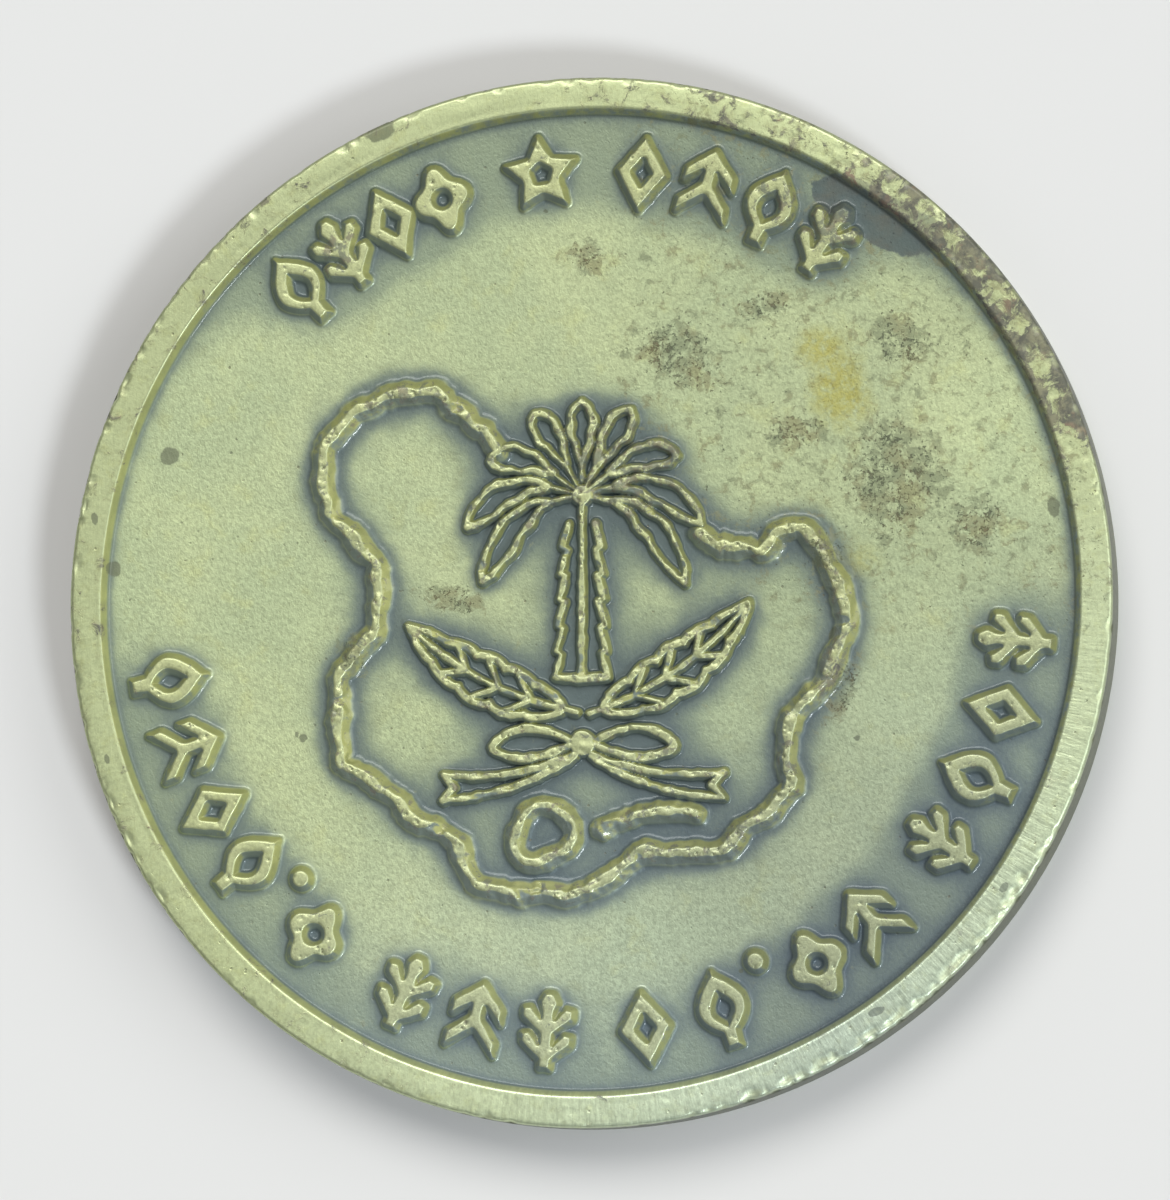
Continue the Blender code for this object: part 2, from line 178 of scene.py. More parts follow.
def leaf_ornament():
    stalk, count = 0.25, 26
    right, inner = [], []
    for i in range(1, count):
        t = i / count
        w = 0.90 * math.sin(math.pi * t**1.1) ** 0.85
        if w < stalk and t > 0.5:
            break
        right.append((w, TOP - 2.40 * t))
    right.append((stalk, -TOP))
    for i in range(1, 16):
        t = i / 16
        inner.append((0.38 * math.sin(math.pi * t**1.1) ** 0.9, 0.62 - 1.16 * t))
    outer = [(0, TOP + 0.05)] + right + [(-x, y) for x, y in right[::-1]]
    hollow = [(0, 0.64)] + inner + [(0, -0.56)] + [(-x, y) for x, y in inner[::-1]]
    return [outer, hollow]


def lozenge_ornament():
    outer = [(0, TOP), (-0.96, 0), (0, -TOP), (0.96, 0)]
    hollow = [(0, 0.52), (-0.37, 0), (0, -0.52), (0.37, 0)]
    return [rounded(outer), rounded(hollow, 0.06)]


def sprig_ornament():
    stem = 0.24
    right = [(0.16, TOP), (0.36, 1.02), (stem, 0.66)]
    for foot in (0.02, -0.90):
        right += [
            (stem, foot + 0.38),
            (0.62, foot + 0.86),
            (0.94, foot + 0.80),
            (0.94, foot + 0.44),
            (stem, foot - 0.14),
        ]
    right.append((stem, -TOP))
    return [rounded(right + [(-x, y) for x, y in right[::-1]], 0.09)]


def chevron_ornament():
    w, band = 0.94, 0.56
    right = [(0, TOP), (w, 0.50), (w, 0.50 - band), (0.24, 0.54), (0.24, 0.04), (w, -0.66), (w, -0.66 - band), (0, -0.36)]
    left = [(-x, y) for x, y in right[1:-1][::-1]]
    return [rounded(right + left, 0.10)]


def rosette_ornament():
    outer = []
    for i in range(48):
        a = 2 * math.pi * i / 48
        r = 1.00 + 0.18 * math.cos(4 * a - math.pi)
        outer.append((0.90 * r * math.cos(a + math.pi / 4), 1.06 * r * math.sin(a + math.pi / 4)))
    return [outer, arc(0, 0, 0.34, 0, 345, 24)]


def pellet_ornament():
    return [arc(0, 0, 0.36, 0, 345, 24)]


ORNAMENTS = {
    "star": star_ornament,
    "leaf": leaf_ornament,
    "lozenge": lozenge_ornament,
    "sprig": sprig_ornament,
    "chevron": chevron_ornament,
    "rosette": rosette_ornament,
    "pellet": pellet_ornament,
}
UPPER_ARC = [
    ("leaf", -42.4), ("sprig", -34.9), ("lozenge", -27.4), ("rosette", -19.8),
    ("star", -6.0),
    ("lozenge", 7.6), ("chevron", 16.5), ("leaf", 25.4), ("sprig", 34.2),
]
LOWER_ARC = [
    ("leaf", -79.8), ("chevron", -70.4), ("lozenge", -61.2), ("leaf", -52.6), ("pellet", -46.2),
    ("rosette", -39.6),
    ("sprig", -25.0), ("chevron", -14.9), ("sprig", -5.2),
    ("lozenge", 8.0), ("leaf", 18.6), ("pellet", 25.2), ("rosette", 32.4), ("chevron", 41.6),
    ("sprig", 55.3), ("leaf", 64.9), ("lozenge", 74.2), ("sprig", 83.8),
]


def placed_ornaments():
    """Name, kind, centre and turn of each border ornament."""
    found = []
    for prefix, arc_list, lower in (("upper", UPPER_ARC, False), ("lower", LOWER_ARC, True)):
        seen = {}
        for kind, angle in arc_list:
            seen[kind] = seen.get(kind, 0) + 1
            a = math.radians(angle)
            radius = BORDER_RADIUS - (1.15 if kind == "pellet" and lower else 0)
            if lower:
                x, y, turn = radius * math.sin(a), -radius * math.cos(a), a
            else:
                x, y, turn = radius * math.sin(a), radius * math.cos(a), -a
            found.append((f"{prefix}_{kind}_{seen[kind]}", kind, (x, y), turn))
    return found


def turned_loops(loops, centre, turn):
    c, s = math.cos(turn), math.sin(turn)
    return [[(centre[0] + x * c - y * s, centre[1] + x * s + y * c) for x, y in loop] for loop in loops]


# ---- palm
FROND_ROOT = 1.26
FRONDS = [
    (90, 3.35, 0.00),
    (62, 3.75, 0.30),
    (36, 4.20, 1.15),
    (13, 4.40, 2.05),
    (-12, 3.80, 2.35),
    (118, 3.65, 0.30),
    (144, 4.10, 1.15),
    (167, 4.25, 2.00),
    (192, 3.65, 2.25),
]


def frond_point(direction, length, sag, t):
    """A frond's rib: straight out of the crown, then sagging. t is below 0 inside the crown."""
    a = math.radians(direction)
    along = FROND_ROOT + (length - FROND_ROOT) * t
    fall = sag * t * t if t > 0 else 0.0
    return HUB[0] + along * math.cos(a), HUB[1] + along * math.sin(a) - fall


def bowed_path(start, end, bow):
    dx, dy = end[0] - start[0], end[1] - start[1]
    length = math.hypot(dx, dy)

    def path(t):
        side = 4 * bow * t * (1 - t)
        return (
            start[0] + dx * t - dy / length * side,
            start[1] + dy * t + dx / length * side,
        )

    return path


def side_of(path, t):
    a, b = path(t - 0.004), path(t + 0.004)
    dx, dy = b[0] - a[0], b[1] - a[1]
    size = math.hypot(dx, dy)
    return -dy / size, dx / size


def palm_distance(x, y):
    """Raised outlines of the fronds, the crown and the trunk's stepped bark."""
    best = np.full(x.shape, 1e9)
    for number, (direction, length, sag) in enumerate(FRONDS):
        path = lambda t: frond_point(direction, length, sag, t)
        left, right = [], []
        steps = 24
        for i in range(steps + 1):
            t = i / steps
            nx, ny = side_of(path, t)
            cx, cy = path(t)
            half = 0.05 + 0.375 * max(0.0, math.sin(math.pi * t**1.6)) ** 0.62
            notch = 0.040 * math.sin(17 * t + number) * math.sin(math.pi * t)
            left.append((cx + nx * (half + notch), cy + ny * (half + notch)))
            right.append((cx - nx * (half - notch), cy - ny * (half - notch)))
        root, stem = path(-0.36), [0.11, 0.12]
        tip = path(1.02)
        best = np.minimum(best, stroke_distance(x, y, left + [tip], [0.138] * (steps + 2)))
        best = np.minimum(best, stroke_distance(x, y, right + [tip], [0.138] * (steps + 2)))
        best = np.minimum(best, stroke_distance(x, y, [root, path(0.02)], stem))
    crown = np.hypot(x - HUB[0], y - HUB[1])
    best = np.minimum(best, crown - 0.40)
    # trunk: two zigzag sides of stepped bark and a middle rib
    rings = 6
    step = (TRUNK_HEAD - TRUNK_FOOT) / rings
    for side in (1, -1):
        pts = []
        for i in range(rings):
            top = TRUNK_HEAD - i * step
            w = 0.60 + 0.052 * i
            pts += [(HUB[0] + side * (w - 0.12), top - 0.02), (HUB[0] + side * (w + 0.10), top - step * 0.90)]
        best = np.minimum(best, stroke_distance(x, y, pts, [0.135] * len(pts)))
    rib = [(HUB[0] + 0.02, TRUNK_HEAD + 0.7), (HUB[0], TRUNK_FOOT + 0.1)]
    best = np.minimum(best, stroke_distance(x, y, rib, [0.12, 0.15]))
    foot = [(HUB[0] - 0.90, TRUNK_FOOT + 0.08), (HUB[0], TRUNK_FOOT + 0.02), (HUB[0] + 0.90, TRUNK_FOOT + 0.08)]
    best = np.minimum(best, stroke_distance(x, y, foot, [0.16, 0.18, 0.16]))
    return best


# ---- leaves and ribbon
LEAVES = {
    "leaf_left": ((-6.35, -1.00), (-0.85, -3.95), 0.42),
    "leaf_right": ((5.80, -0.35), (0.65, -3.95), -0.42),
}


def leaf_distance(x, y, tip, root, bow):
    """A lobed leaf in line work: outline, midrib and slanting veins."""
    path = bowed_path(root, tip, bow)
    left, right = [], []
    steps = 60
    for i in range(steps + 1):
        t = i / steps
        lobe = (t * 5) % 1.0
        half = 0.74 * max(0.0, math.sin(math.pi * min(1, t) ** 0.85)) ** 0.8 * (0.78 + 0.22 * math.sin(math.pi * lobe) ** 0.6)
        half = 0.08 + half * 1.06
        nx, ny = side_of(path, min(max(t, 0.005), 0.995))
        cx, cy = path(t)
        left.append((cx + nx * half, cy + ny * half))
        right.append((cx - nx * half, cy - ny * half))
    end = path(1.03)
    best = np.minimum(
        stroke_distance(x, y, left + [end], [0.165] * (steps + 1) + [0.14]),
        stroke_distance(x, y, right + [end], [0.165] * (steps + 1) + [0.14]),
    )
    midrib = [path(t / 12) for t in range(-1, 13)]
    best = np.minimum(best, stroke_distance(x, y, midrib, [0.15 - 0.002 * i for i in range(len(midrib))]))
    for t in (0.235, 0.44, 0.65):
        for side in (1, -1):
            cx, cy = path(t - 0.05)
            ex, ey = path(t + 0.07)
            nx, ny = side_of(path, t)
            reach = 0.74 * math.sin(math.pi * (t + 0.05) ** 0.85) ** 0.8
            best = np.minimum(best, stroke_distance(x, y, [(cx, cy), (ex + nx * reach * side, ey + ny * reach * side)], [0.12, 0.13]))
    return best


def ribbon_distance(x, y):
    best = np.hypot((x - KNOT[0]) / 1.0, (y - KNOT[1]) / 1.0) - 0.50
    for direction in (-1, 1):
        path = bowed_path((KNOT[0] + 0.45 * direction, KNOT[1]), (KNOT[0] + 3.30 * direction, KNOT[1] - 0.15), 0.10 * direction)
        left, right = [], []
        for i in range(31):
            t = i / 30
            half = 0.04 + 0.50 * max(0.0, math.sin(math.pi * min(1, t) ** 1.2)) ** 0.7
            nx, ny = side_of(path, min(max(t, 0.005), 0.995))
            cx, cy = path(t)
            left.append((cx + nx * half, cy + ny * half))
            right.append((cx - nx * half, cy - ny * half))
        best = np.minimum(best, stroke_distance(x, y, left, [0.17] * 31))
        best = np.minimum(best, stroke_distance(x, y, right, [0.17] * 31))
        root = (KNOT[0] + 0.30 * direction, KNOT[1] - 0.45)
        end = (KNOT[0] + 5.10 * direction, KNOT[1] - 1.55)
        path = bowed_path(root, end, -0.32 * direction)
        near, far = [], []
        for i in range(25):
            t = i / 24
            nx, ny = side_of(path, min(max(t, 0.005), 0.995))
            cx, cy = path(t)
            half = max(0.03, 0.04 + 0.42 * t)
            near.append((cx + nx * half, cy + ny * half))
            far.append((cx - nx * half, cy - ny * half))
        notch = path(0.92)
        best = np.minimum(best, stroke_distance(x, y, near + [notch] + far[::-1], [0.155] * 51))
    return best


# ---- island
SHORE = [
    (-3.75, 6.05), (-4.9, 7.2), (-7.0, 7.6), (-9.2, 6.2), (-9.6, 3.6), (-8.0, 1.8), (-7.6, -0.4), (-8.9, -2.6),
    (-9.0, -5.4), (-7.0, -7.2), (-5.0, -8.6), (-3.6, -10.3), (-0.6, -10.6), (2.0, -9.3), (5.0, -8.9),
    (7.2, -7.0), (7.5, -4.4), (9.1, -2.2), (9.2, 0.6), (7.6, 2.4), (6.1, 1.7), (4.85, 1.95),
]


def shore_line(pieces=10):
    points = []
    last = len(SHORE) - 1
    for k in range(last * pieces + 1):
        i, step = divmod(k, pieces)
        t = step / pieces
        p0, p1, p2, p3 = (SHORE[min(max(i + j, 0), last)] for j in (-1, 0, 1, 2))
        x, y = (
            0.5 * (2 * b + (c - a) * t + (2 * a - 5 * b + 4 * c - d) * t * t + (3 * b - a - 3 * c + d) * t**3)
            for a, b, c, d in zip(p0, p1, p2, p3)
        )
        along = i + t
        x += 0.10 * math.sin(5.1 * along + 0.4) + 0.05 * math.sin(11.3 * along)
        y += 0.10 * math.sin(4.3 * along + 2.0) + 0.05 * math.sin(9.7 * along + 1.0)
        points.append((x, y))
    return points


def coast_distance(x, y):
    points = shore_line()
    widths = [0.225 + 0.045 * math.sin(0.9 * i) * math.sin(0.23 * i) for i in range(len(points))]
    start, end = (-3.20, 5.45), (4.15, 2.35)
    return stroke_distance(x, y, [start] + points + [end], [0.22] + widths + [0.22])


def lake_distance(x, y):
    points = []
    for i in range(41):
        a = 2 * math.pi * i / 40
        r = 1 + 0.10 * math.sin(2 * a + 0.5) + 0.08 * math.sin(3 * a + 2.2)
        points.append((-1.55 + 1.00 * r * math.cos(a), -8.45 + 1.04 * r * math.sin(a)))
    return stroke_distance(x, y, points, [0.20] * 41)


def river_distance(x, y):
    river = bowed_path((0.55, -8.30), (4.00, -7.75), 0.30)
    points = [river(i / 14) for i in range(15)]
    return stroke_distance(x, y, points, [0.20] * 15)


# ================================================================= relief profile
FOOT, SHOULDER = 0.22, -0.09     # plan distances of the wall's foot and shoulder from mid-wall


def wavy(x, y, d, rough):
    """Hand-cut unevenness of an outline."""
    return d + rough * (0.022 * fractal(x, y, 1.3, 3, 2) + 0.014 * value_noise(x, y, 4.1, 7))


def wall_rise(t, foot_round=0.22, top_round=0.10):
    """Height along a drafted wall, 0 at the foot to 1 at the shoulder: a straight slope with a
    soft fillet at its foot and a tighter round at its top."""
    t = np.asarray(t, float)
    low = np.where(t < foot_round, (t + foot_round) ** 2 / (4 * foot_round), t)
    low = np.where(t < -foot_round, 0.0, low)
    back = 1 - low
    high = np.where(back < top_round, (back + top_round) ** 2 / (4 * top_round), back)
    high = np.where(back < -top_round, 0.0, high)
    return 1 - high


def relief_height(x, y, d, height=RELIEF, rough=1.0, foot=FOOT, shoulder=SHOULDER):
    d = wavy(x, y, d, rough)
    wall = wall_rise((foot - 0.04 - d) / (foot - 0.04 - shoulder))
    crown = 0.006 * smooth((-d - 0.05) / 0.22)
    worn = 0.005 * fractal(x, y, 0.9, 21, 2) + 0.013 * (rough - 1) * value_noise(x, y, 3.3, 27)
    worn = worn - 0.050 * (rough - 1) * smooth((value_noise(x, y, 1.9, 33) - 0.30) / 0.5)
    return (height - 0.006) * wall + crown * wall + worn * wall, d


def field_wave(x, y):
    """The field's slow unevenness, in millimetres."""
    return 0.006 * fractal(x, y, 0.16, 41, 2)


# ================================================================= the whole obverse as a height map
STEP = 0.04
HALF = 19.6
COUNT = int(2 * HALF / STEP) + 1
axis_line = np.linspace(-HALF, HALF, COUNT)
height_map = np.zeros((COUNT, COUNT))


def into_map(function, low, high, rough=1.0, foot=FOOT, shoulder=SHOULDER):
    """Adds a device's relief to the map inside a window."""
    i0, i1 = np.searchsorted(axis_line, low[0]), np.searchsorted(axis_line, high[0])
    j0, j1 = np.searchsorted(axis_line, low[1]), np.searchsorted(axis_line, high[1])
    gx, gy = np.meshgrid(axis_line[i0:i1], axis_line[j0:j1])
    z = relief_height(gx, gy, function(gx, gy), RELIEF, rough, foot, shoulder)[0]
    height_map[j0:j1, i0:i1] = np.maximum(height_map[j0:j1, i0:i1], z)


def rim_height(r):
    """Height of the obverse above the field at a radius near the rim."""
    rise = RIM_RISE * ramp(r, 17.60, 17.93)
    lip = 0.005 * np.exp(-(((r - 17.98) / 0.07) ** 2))
    dome = -0.006 * np.clip((r - 18.42) / 0.45, -1, 1) ** 2
    return rise + (lip + dome) * (r > 17.9)


ornament_shapes = {kind: make() for kind, make in ORNAMENTS.items()}
PLACED = placed_ornaments()
for name, kind, centre, turn in PLACED:
    loops = turned_loops(ornament_shapes[kind], centre, turn)
    into_map(lambda x, y: polygon_distance(x, y, loops), (centre[0] - 2.4, centre[1] - 2.4), (centre[0] + 2.4, centre[1] + 2.4))


def leaves_distance(x, y):
    best = ribbon_distance(x, y)
    for tip, root, bow in LEAVES.values():
        best = np.minimum(best, leaf_distance(x, y, tip, root, bow))
    return best


def island_distance(x, y):
    return np.minimum(np.minimum(coast_distance(x, y), lake_distance(x, y)), river_distance(x, y))


# distance function, window, unevenness, plan distances of the wall's foot and shoulder
DEVICES = {
    "palm": (palm_distance, (-5.6, -4.0), (5.4, 8.2), 2.3, 0.14, -0.05),
    "leaves": (leaves_distance, (-7.6, -8.2), (7.0, 0.9), 2.1, 0.13, -0.05),
    "island": (island_distance, (-10.9, -12.0), (10.6, 9.0), 2.6, 0.33, -0.08),
}
for device in DEVICES.values():
    into_map(*device)

grid_x, grid_y = np.meshgrid(axis_line, axis_line)
grid_r = np.hypot(grid_x, grid_y)
height_map = np.where(grid_r > 17.5, rim_height(grid_r), height_map)
height_map = np.where(grid_r > RADIUS - 0.05, -1.2, height_map)


def blurred(a, sigma):
    """Gaussian blur of a map, sigma in millimetres."""
    reach = int(3 * sigma / STEP)
    kernel = np.exp(-0.5 * (np.arange(-reach, reach + 1) * STEP / sigma) ** 2)
    kernel /= kernel.sum()
    for axis in (0, 1):
        padded = np.pad(a, [(reach, reach) if k == axis else (0, 0) for k in (0, 1)], mode="edge")
        total = np.zeros_like(a)
        for k, weight in enumerate(kernel):
            window = [slice(None), slice(None)]
            window[axis] = slice(k, k + a.shape[axis])
            total += weight * padded[tuple(window)]
        a = total
    return a


inner = np.clip(height_map, 0, None)
turned = np.degrees(np.arctan2(grid_y, grid_x))
middle = 1 - ramp(grid_r, 11.4, 12.6)
# an arc round the right and the top where the veil is thickened as painted shade
painted_shade_arc = ramp(turned, -62, -38) * (1 - ramp(turned, 150, 168))
cavity_map = np.clip(blurred(inner, 0.22) - inner, 0, None) / 0.16 * 0.45
cavity_map += np.clip(blurred(inner, 0.55) - inner, 0, None) / 0.16 * 0.75
cavity_map += np.clip(blurred(inner, 0.95) - inner, 0, None) / 0.16 * middle * (0.09 + 0.18 * ramp(grid_y, -7.5, -4.5))
cavity_map = np.clip(cavity_map * (1 + 0.20 * middle), 0, 1.6)
# the groove at the rim's foot is lightened, less so towards the right, where the darker band is left as painted shade
cavity_map = cavity_map * (1 - ramp(grid_r, 16.9, 17.45) * (0.34 - 0.12 * ramp(grid_x, 0.0, 16.0)))
bordered = ramp(turned, 30, 46) * (1 - ramp(turned, 138, 154)) + (1 - ramp(turned, -18, -2)) * ramp(turned, -180, -166)
inside = np.where(grid_r > 17.95, inner * 0.62 * bordered, inner)
veil_map = np.clip(blurred(inside, 1.15) - inner, 0, None) / 0.115
veil_map = np.clip(veil_map * (1 + 0.08 * middle + 0.45 * painted_shade_arc * (1 - middle)), 0, 1.5)
dulled = ramp(turned, -80, -62) * (1 - ramp(turned, -20, -6)) * ramp(grid_r, 12.8, 14.0)
cavity_map = np.clip(cavity_map * (1 + 0.22 * dulled) + 0.10 * dulled * (1 - ramp(grid_r, 17.3, 17.7)), 0, 1.6)
veil_map = np.clip(veil_map * (1 + 0.25 * dulled), 0, 1.6)


def sampled(a, x, y):
    """Bilinear look-up in a map."""
    u = np.clip((np.asarray(x, float) + HALF) / STEP, 0, COUNT - 1.001)
    v = np.clip((np.asarray(y, float) + HALF) / STEP, 0, COUNT - 1.001)
    i, j = u.astype(int), v.astype(int)
    fu, fv = u - i, v - j
    return (a[j, i] * (1 - fu) + a[j, i + 1] * fu) * (1 - fv) + (a[j + 1, i] * (1 - fu) + a[j + 1, i + 1] * fu) * fv


# ================================================================= wear and painted light and shade, in the coin's own places
def blob(x, y, cx, cy, rx, ry, turn=0.0):
    """1 at the middle of an ellipse, 0 at its edge, negative outside."""
    c, s = math.cos(math.radians(turn)), math.sin(math.radians(turn))
    u, v = (x - cx) * c + (y - cy) * s, -(x - cx) * s + (y - cy) * c
    return 1 - np.hypot(u / rx, v / ry)


PITTED = [
    (3.4, 8.9, 2.9, 1.9, -32), (0.0, 12.4, 1.5, 1.1, -20), (11.3, 9.3, 2.0, 1.4, -25), (11.3, 4.2, 3.0, 3.3, 15),
    (14.2, 2.6, 1.8, 1.7, 0), (7.6, 6.0, 1.6, 1.2, 0), (-5.0, 0.1, 1.7, 0.8, -10), (-8.6, -1.8, 0.7, 1.0, 20),
    (9.3, -3.4, 0.7, 1.9, -20), (6.6, 10.6, 1.8, 0.8, 15), (8.8, 1.6, 1.3, 1.3, 0),
]
SOILED = [
    (8.4, 13.9, 3.4, 2.2, -35), (-9.2, 12.6, 0.9, 1.3, -30), (1.5, 4.5, 5.0, 4.5, 0), (-6.5, 6.5, 3.0, 2.0, 0), (8.8, -2.0, 1.2, 3.0, 0),
]
SPOTS = [
    (-15.42, 5.50, 0.40, 0.36, 0), (-7.57, 17.25, 0.62, 0.46, 20), (-17.45, 1.38, 0.30, 0.36, 0), (-10.40, -4.90, 0.20, 0.17, 0),
    (-10.62, -4.76, 0.10, 0.14, 30), (-1.5, 14.2, 0.12, 0.10, 0), (8.95, -1.3, 0.28, 0.14, 60), (9.8, -5.1, 0.16, 0.12, 0),
    (-13.2, -14.0, 0.14, 0.12, 0), (5.6, -13.4, 0.10, 0.10, 0), (16.9, 3.1, 0.24, 0.42, 10),
    (15.1, -10.5, 0.26, 0.15, 50), (10.5, -14.9, 0.34, 0.16, 25), (-18.1, 3.2, 0.14, 0.28, 10), (-17.6, -5.6, 0.12, 0.22, 15),
]


def wear_and_painted_light_masks(x, y):
    """Low-frequency masks that the materials break up with their own fine noise."""
    r = np.hypot(x, y)
    angle = np.degrees(np.arctan2(y, x))
    pitted = np.zeros_like(x)
    ragged = 0.30 * fractal(x, y, 0.7, 91, 3)
    for b in PITTED:
        pitted = np.maximum(pitted, np.clip((blob(x, y, *b) + ragged) * 1.5, 0, 1))
    pitted = np.maximum(pitted, 0.40 * ramp(angle, -18, 5) * (1 - ramp(angle, 75, 95)) * ramp(r, 3, 7))
    soiled = 0.20 + 0.35 * (1 - ramp(r, 11.0, 12.2))
    for b in SOILED:
        soiled = np.maximum(soiled, np.clip((blob(x, y, *b) + ragged) * 1.6, 0, 1))
    spots = np.full_like(x, -1.0)
    for b in SPOTS:
        spots = np.maximum(spots, blob(x, y, *b))
    film = np.maximum(blob(x, y, 10.9, 13.5, 2.0, 0.95, -32), blob(x, y, 9.6, 14.4, 1.5, 0.8, -20))
    film = np.maximum(film, blob(x, y, 12.0, 13.1, 0.95, 0.75, 0))
    ochre = np.maximum(blob(x, y, 9.2, 7.5, 1.35, 1.8, 10), 0.75 * blob(x, y, 8.5, 9.0, 1.2, 1.0, 0))
    ochre = ochre + 0.22 * fractal(x, y, 0.8, 95, 3)
    ochre = np.maximum(ochre, 0.35 * blob(x, y, 10.0, 1.3, 1.0, 0.8, 0))
    sides = 0.16 * np.cos((r - 18.4) / 0.5 * math.pi)
    brown = ramp(angle, 8, 20) * (1 - ramp(angle, 52, 66)) * (1.03 - sides)
    brown = np.maximum(brown, 0.60 * ramp(angle, 52, 64) * (1 - ramp(angle, 86, 100)))
    brown = np.maximum(brown, (0.48 - 0.8 * sides) * ramp(angle, 96, 112) * (1 - ramp(angle, 140, 150)))
    leftwards = np.maximum(ramp(angle, 140, 150), 1 - ramp(angle, -125, -105))
    brown = np.maximum(brown, 0.30 + (0.12 - 0.8 * sides) * leftwards) * ramp(r, 17.60, 17.85)
    brown = np.maximum(brown, 0.8 * np.clip(blob(x, y, 8.9, -2.7, 0.5, 1.2, -35) * 1.5, 0, 1))
    # painted shade: the side turned from the light is painted duller. A patch towards the lower right is darker, and
    # the gap between the two arcs of ornaments brighter
    tone = 0.935 - 0.060 * x / 15 - 0.055 * y / 15
    tone = tone * (1 - 0.15 * np.clip(1.15 - ((angle + 50) / 28) ** 2, 0, 1) * ramp(r, 6, 11))
    tone = tone * (1 + 0.15 * ramp(angle, 4, 14) * (1 - ramp(angle, 26, 36)) * ramp(r, 13, 15))
    return {
        "pitted": pitted,
        "spots": spots,
        "film": film,
        "ochre": np.clip(ochre * 1.7, 0, 1),
        "brown": brown,
        "soiled": soiled,
        "tone": tone,
        "cool": ramp(-0.90 * y + 0.38 * x, 1.0, 15.0),
    }


def set_attributes(mesh, values):
    for name, data in values.items():
        attribute = mesh.attributes.new(name, "FLOAT", "POINT")
        attribute.data.foreach_set("value", np.asarray(data, np.float32))


def make_mesh(name, vertices, quads, triangles=()):
    """A mesh from arrays, in metres from millimetres."""
    mesh = bpy.data.meshes.new(name)
    quads = np.asarray(quads, np.int32).reshape(-1, 4)
    triangles = np.asarray(triangles, np.int32).reshape(-1, 3)
    mesh.vertices.add(len(vertices))
    mesh.vertices.foreach_set("co", (np.asarray(vertices, float) * MM).astype(np.float32).ravel())
    loops = np.concatenate([quads.ravel(), triangles.ravel()])
    mesh.loops.add(len(loops))
    mesh.loops.foreach_set("vertex_index", loops)
    starts = np.concatenate([np.arange(len(quads)) * 4, len(quads) * 4 + np.arange(len(triangles)) * 3])
    mesh.polygons.add(len(starts))
    mesh.polygons.foreach_set("loop_start", starts.astype(np.int32))
    mesh.update(calc_edges=True)
    mesh.validate()
    mesh.polygons.foreach_set("use_smooth", np.ones(len(mesh.polygons), bool))
    return mesh


def add_piece(name, mesh, material, nodes):
    piece = bpy.data.objects.new(name, mesh)
    bpy.context.scene.collection.objects.link(piece)
    for m in material if isinstance(material, (list, tuple)) else [material]:
        mesh.materials.append(m)
    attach(piece, "root")
    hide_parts(*nodes)
    return piece


# ================================================================= materials
class Tree:
    """Short-hand for building a shader tree."""

    def __init__(self, material):
        self.tree = material.node_tree
        self.tree.nodes.clear()

    def node(self, kind, **settings):
        made = self.tree.nodes.new(kind)
        for key, value in settings.items():
            setattr(made, key, value)
        return made

    def put(self, socket, value):
        if value is None:
            return
        if isinstance(value, bpy.types.NodeSocket):
            self.tree.links.new(value, socket)
        elif hasattr(value, "__len__") and len(value) == 3 and len(socket.default_value) == 4:
            socket.default_value = (*value, 1.0)
        else:
            socket.default_value = value

    def math(self, operation, a, b=None, c=None, clamp=False):
        made = self.node("ShaderNodeMath", operation=operation, use_clamp=clamp)
        for socket, value in zip(made.inputs, (a, b, c)):
            self.put(socket, value)
        return made.outputs[0]

    def mix(self, factor, a, b, blend="MIX"):
        made = self.node("ShaderNodeMix", data_type="RGBA", blend_type=blend, clamp_factor=True)
        self.put(made.inputs[0], factor)
        self.put(made.inputs[6], a)
        self.put(made.inputs[7], b)
        return made.outputs[2]

    def blend(self, factor, a, b):
        made = self.node("ShaderNodeMix", data_type="FLOAT", clamp_factor=True)
        self.put(made.inputs[0], factor)
        self.put(made.inputs[2], a)
        self.put(made.inputs[3], b)
        return made.outputs[0]

    def remap(self, value, low, high, out_low=0.0, out_high=1.0, soft=True):
        made = self.node("ShaderNodeMapRange", interpolation_type="SMOOTHSTEP" if soft else "LINEAR")
        for index, item in enumerate((value, low, high, out_low, out_high)):
            self.put(made.inputs[index], item)
        return made.outputs[0]

    def attribute(self, name):
        made = self.node("ShaderNodeAttribute", attribute_name=name)
        return made.outputs["Fac"]

    def noise(self, vector, scale, detail=2.0, rough=0.5, distortion=0.0):
        made = self.node("ShaderNodeTexNoise")
        self.put(made.inputs["Vector"], vector)
        self.put(made.inputs["Scale"], scale)
        self.put(made.inputs["Detail"], detail)
        self.put(made.inputs["Roughness"], rough)
        self.put(made.inputs["Distortion"], distortion)
        return made.outputs["Fac"]

    def cells(self, vector, scale, feature="F1"):
        made = self.node("ShaderNodeTexVoronoi", feature=feature)
        self.put(made.inputs["Vector"], vector)
        self.put(made.inputs["Scale"], scale)
        return made

    def stretched(self, vector, scale=(1, 1, 1), rotation=(0, 0, 0), location=(0, 0, 0)):
        made = self.node("ShaderNodeMapping")
        self.put(made.inputs["Vector"], vector)
        made.inputs["Location"].default_value = location
        made.inputs["Rotation"].default_value = rotation
        made.inputs["Scale"].default_value = scale
        return made.outputs[0]


PALE_FIELD = (0.485, 0.550, 0.320)
PALE_TOP = {"field": (0.500, 0.560, 0.320), "rim": (0.520, 0.585, 0.326), "device": (0.455, 0.495, 0.265)}
OLIVE = (0.405, 0.420, 0.150)
OLIVE_DEEP = (0.330, 0.350, 0.130)
SHADED_WALL = (0.215, 0.265, 0.232)
VEIL = (0.212, 0.266, 0.202)
FILM_GREY = (0.146, 0.188, 0.166)
FILM_DEEP = (0.103, 0.138, 0.139)
BROWN = (0.095, 0.090, 0.084)
OCHRE = (0.420, 0.392, 0.085)
TAU = 2 * math.pi


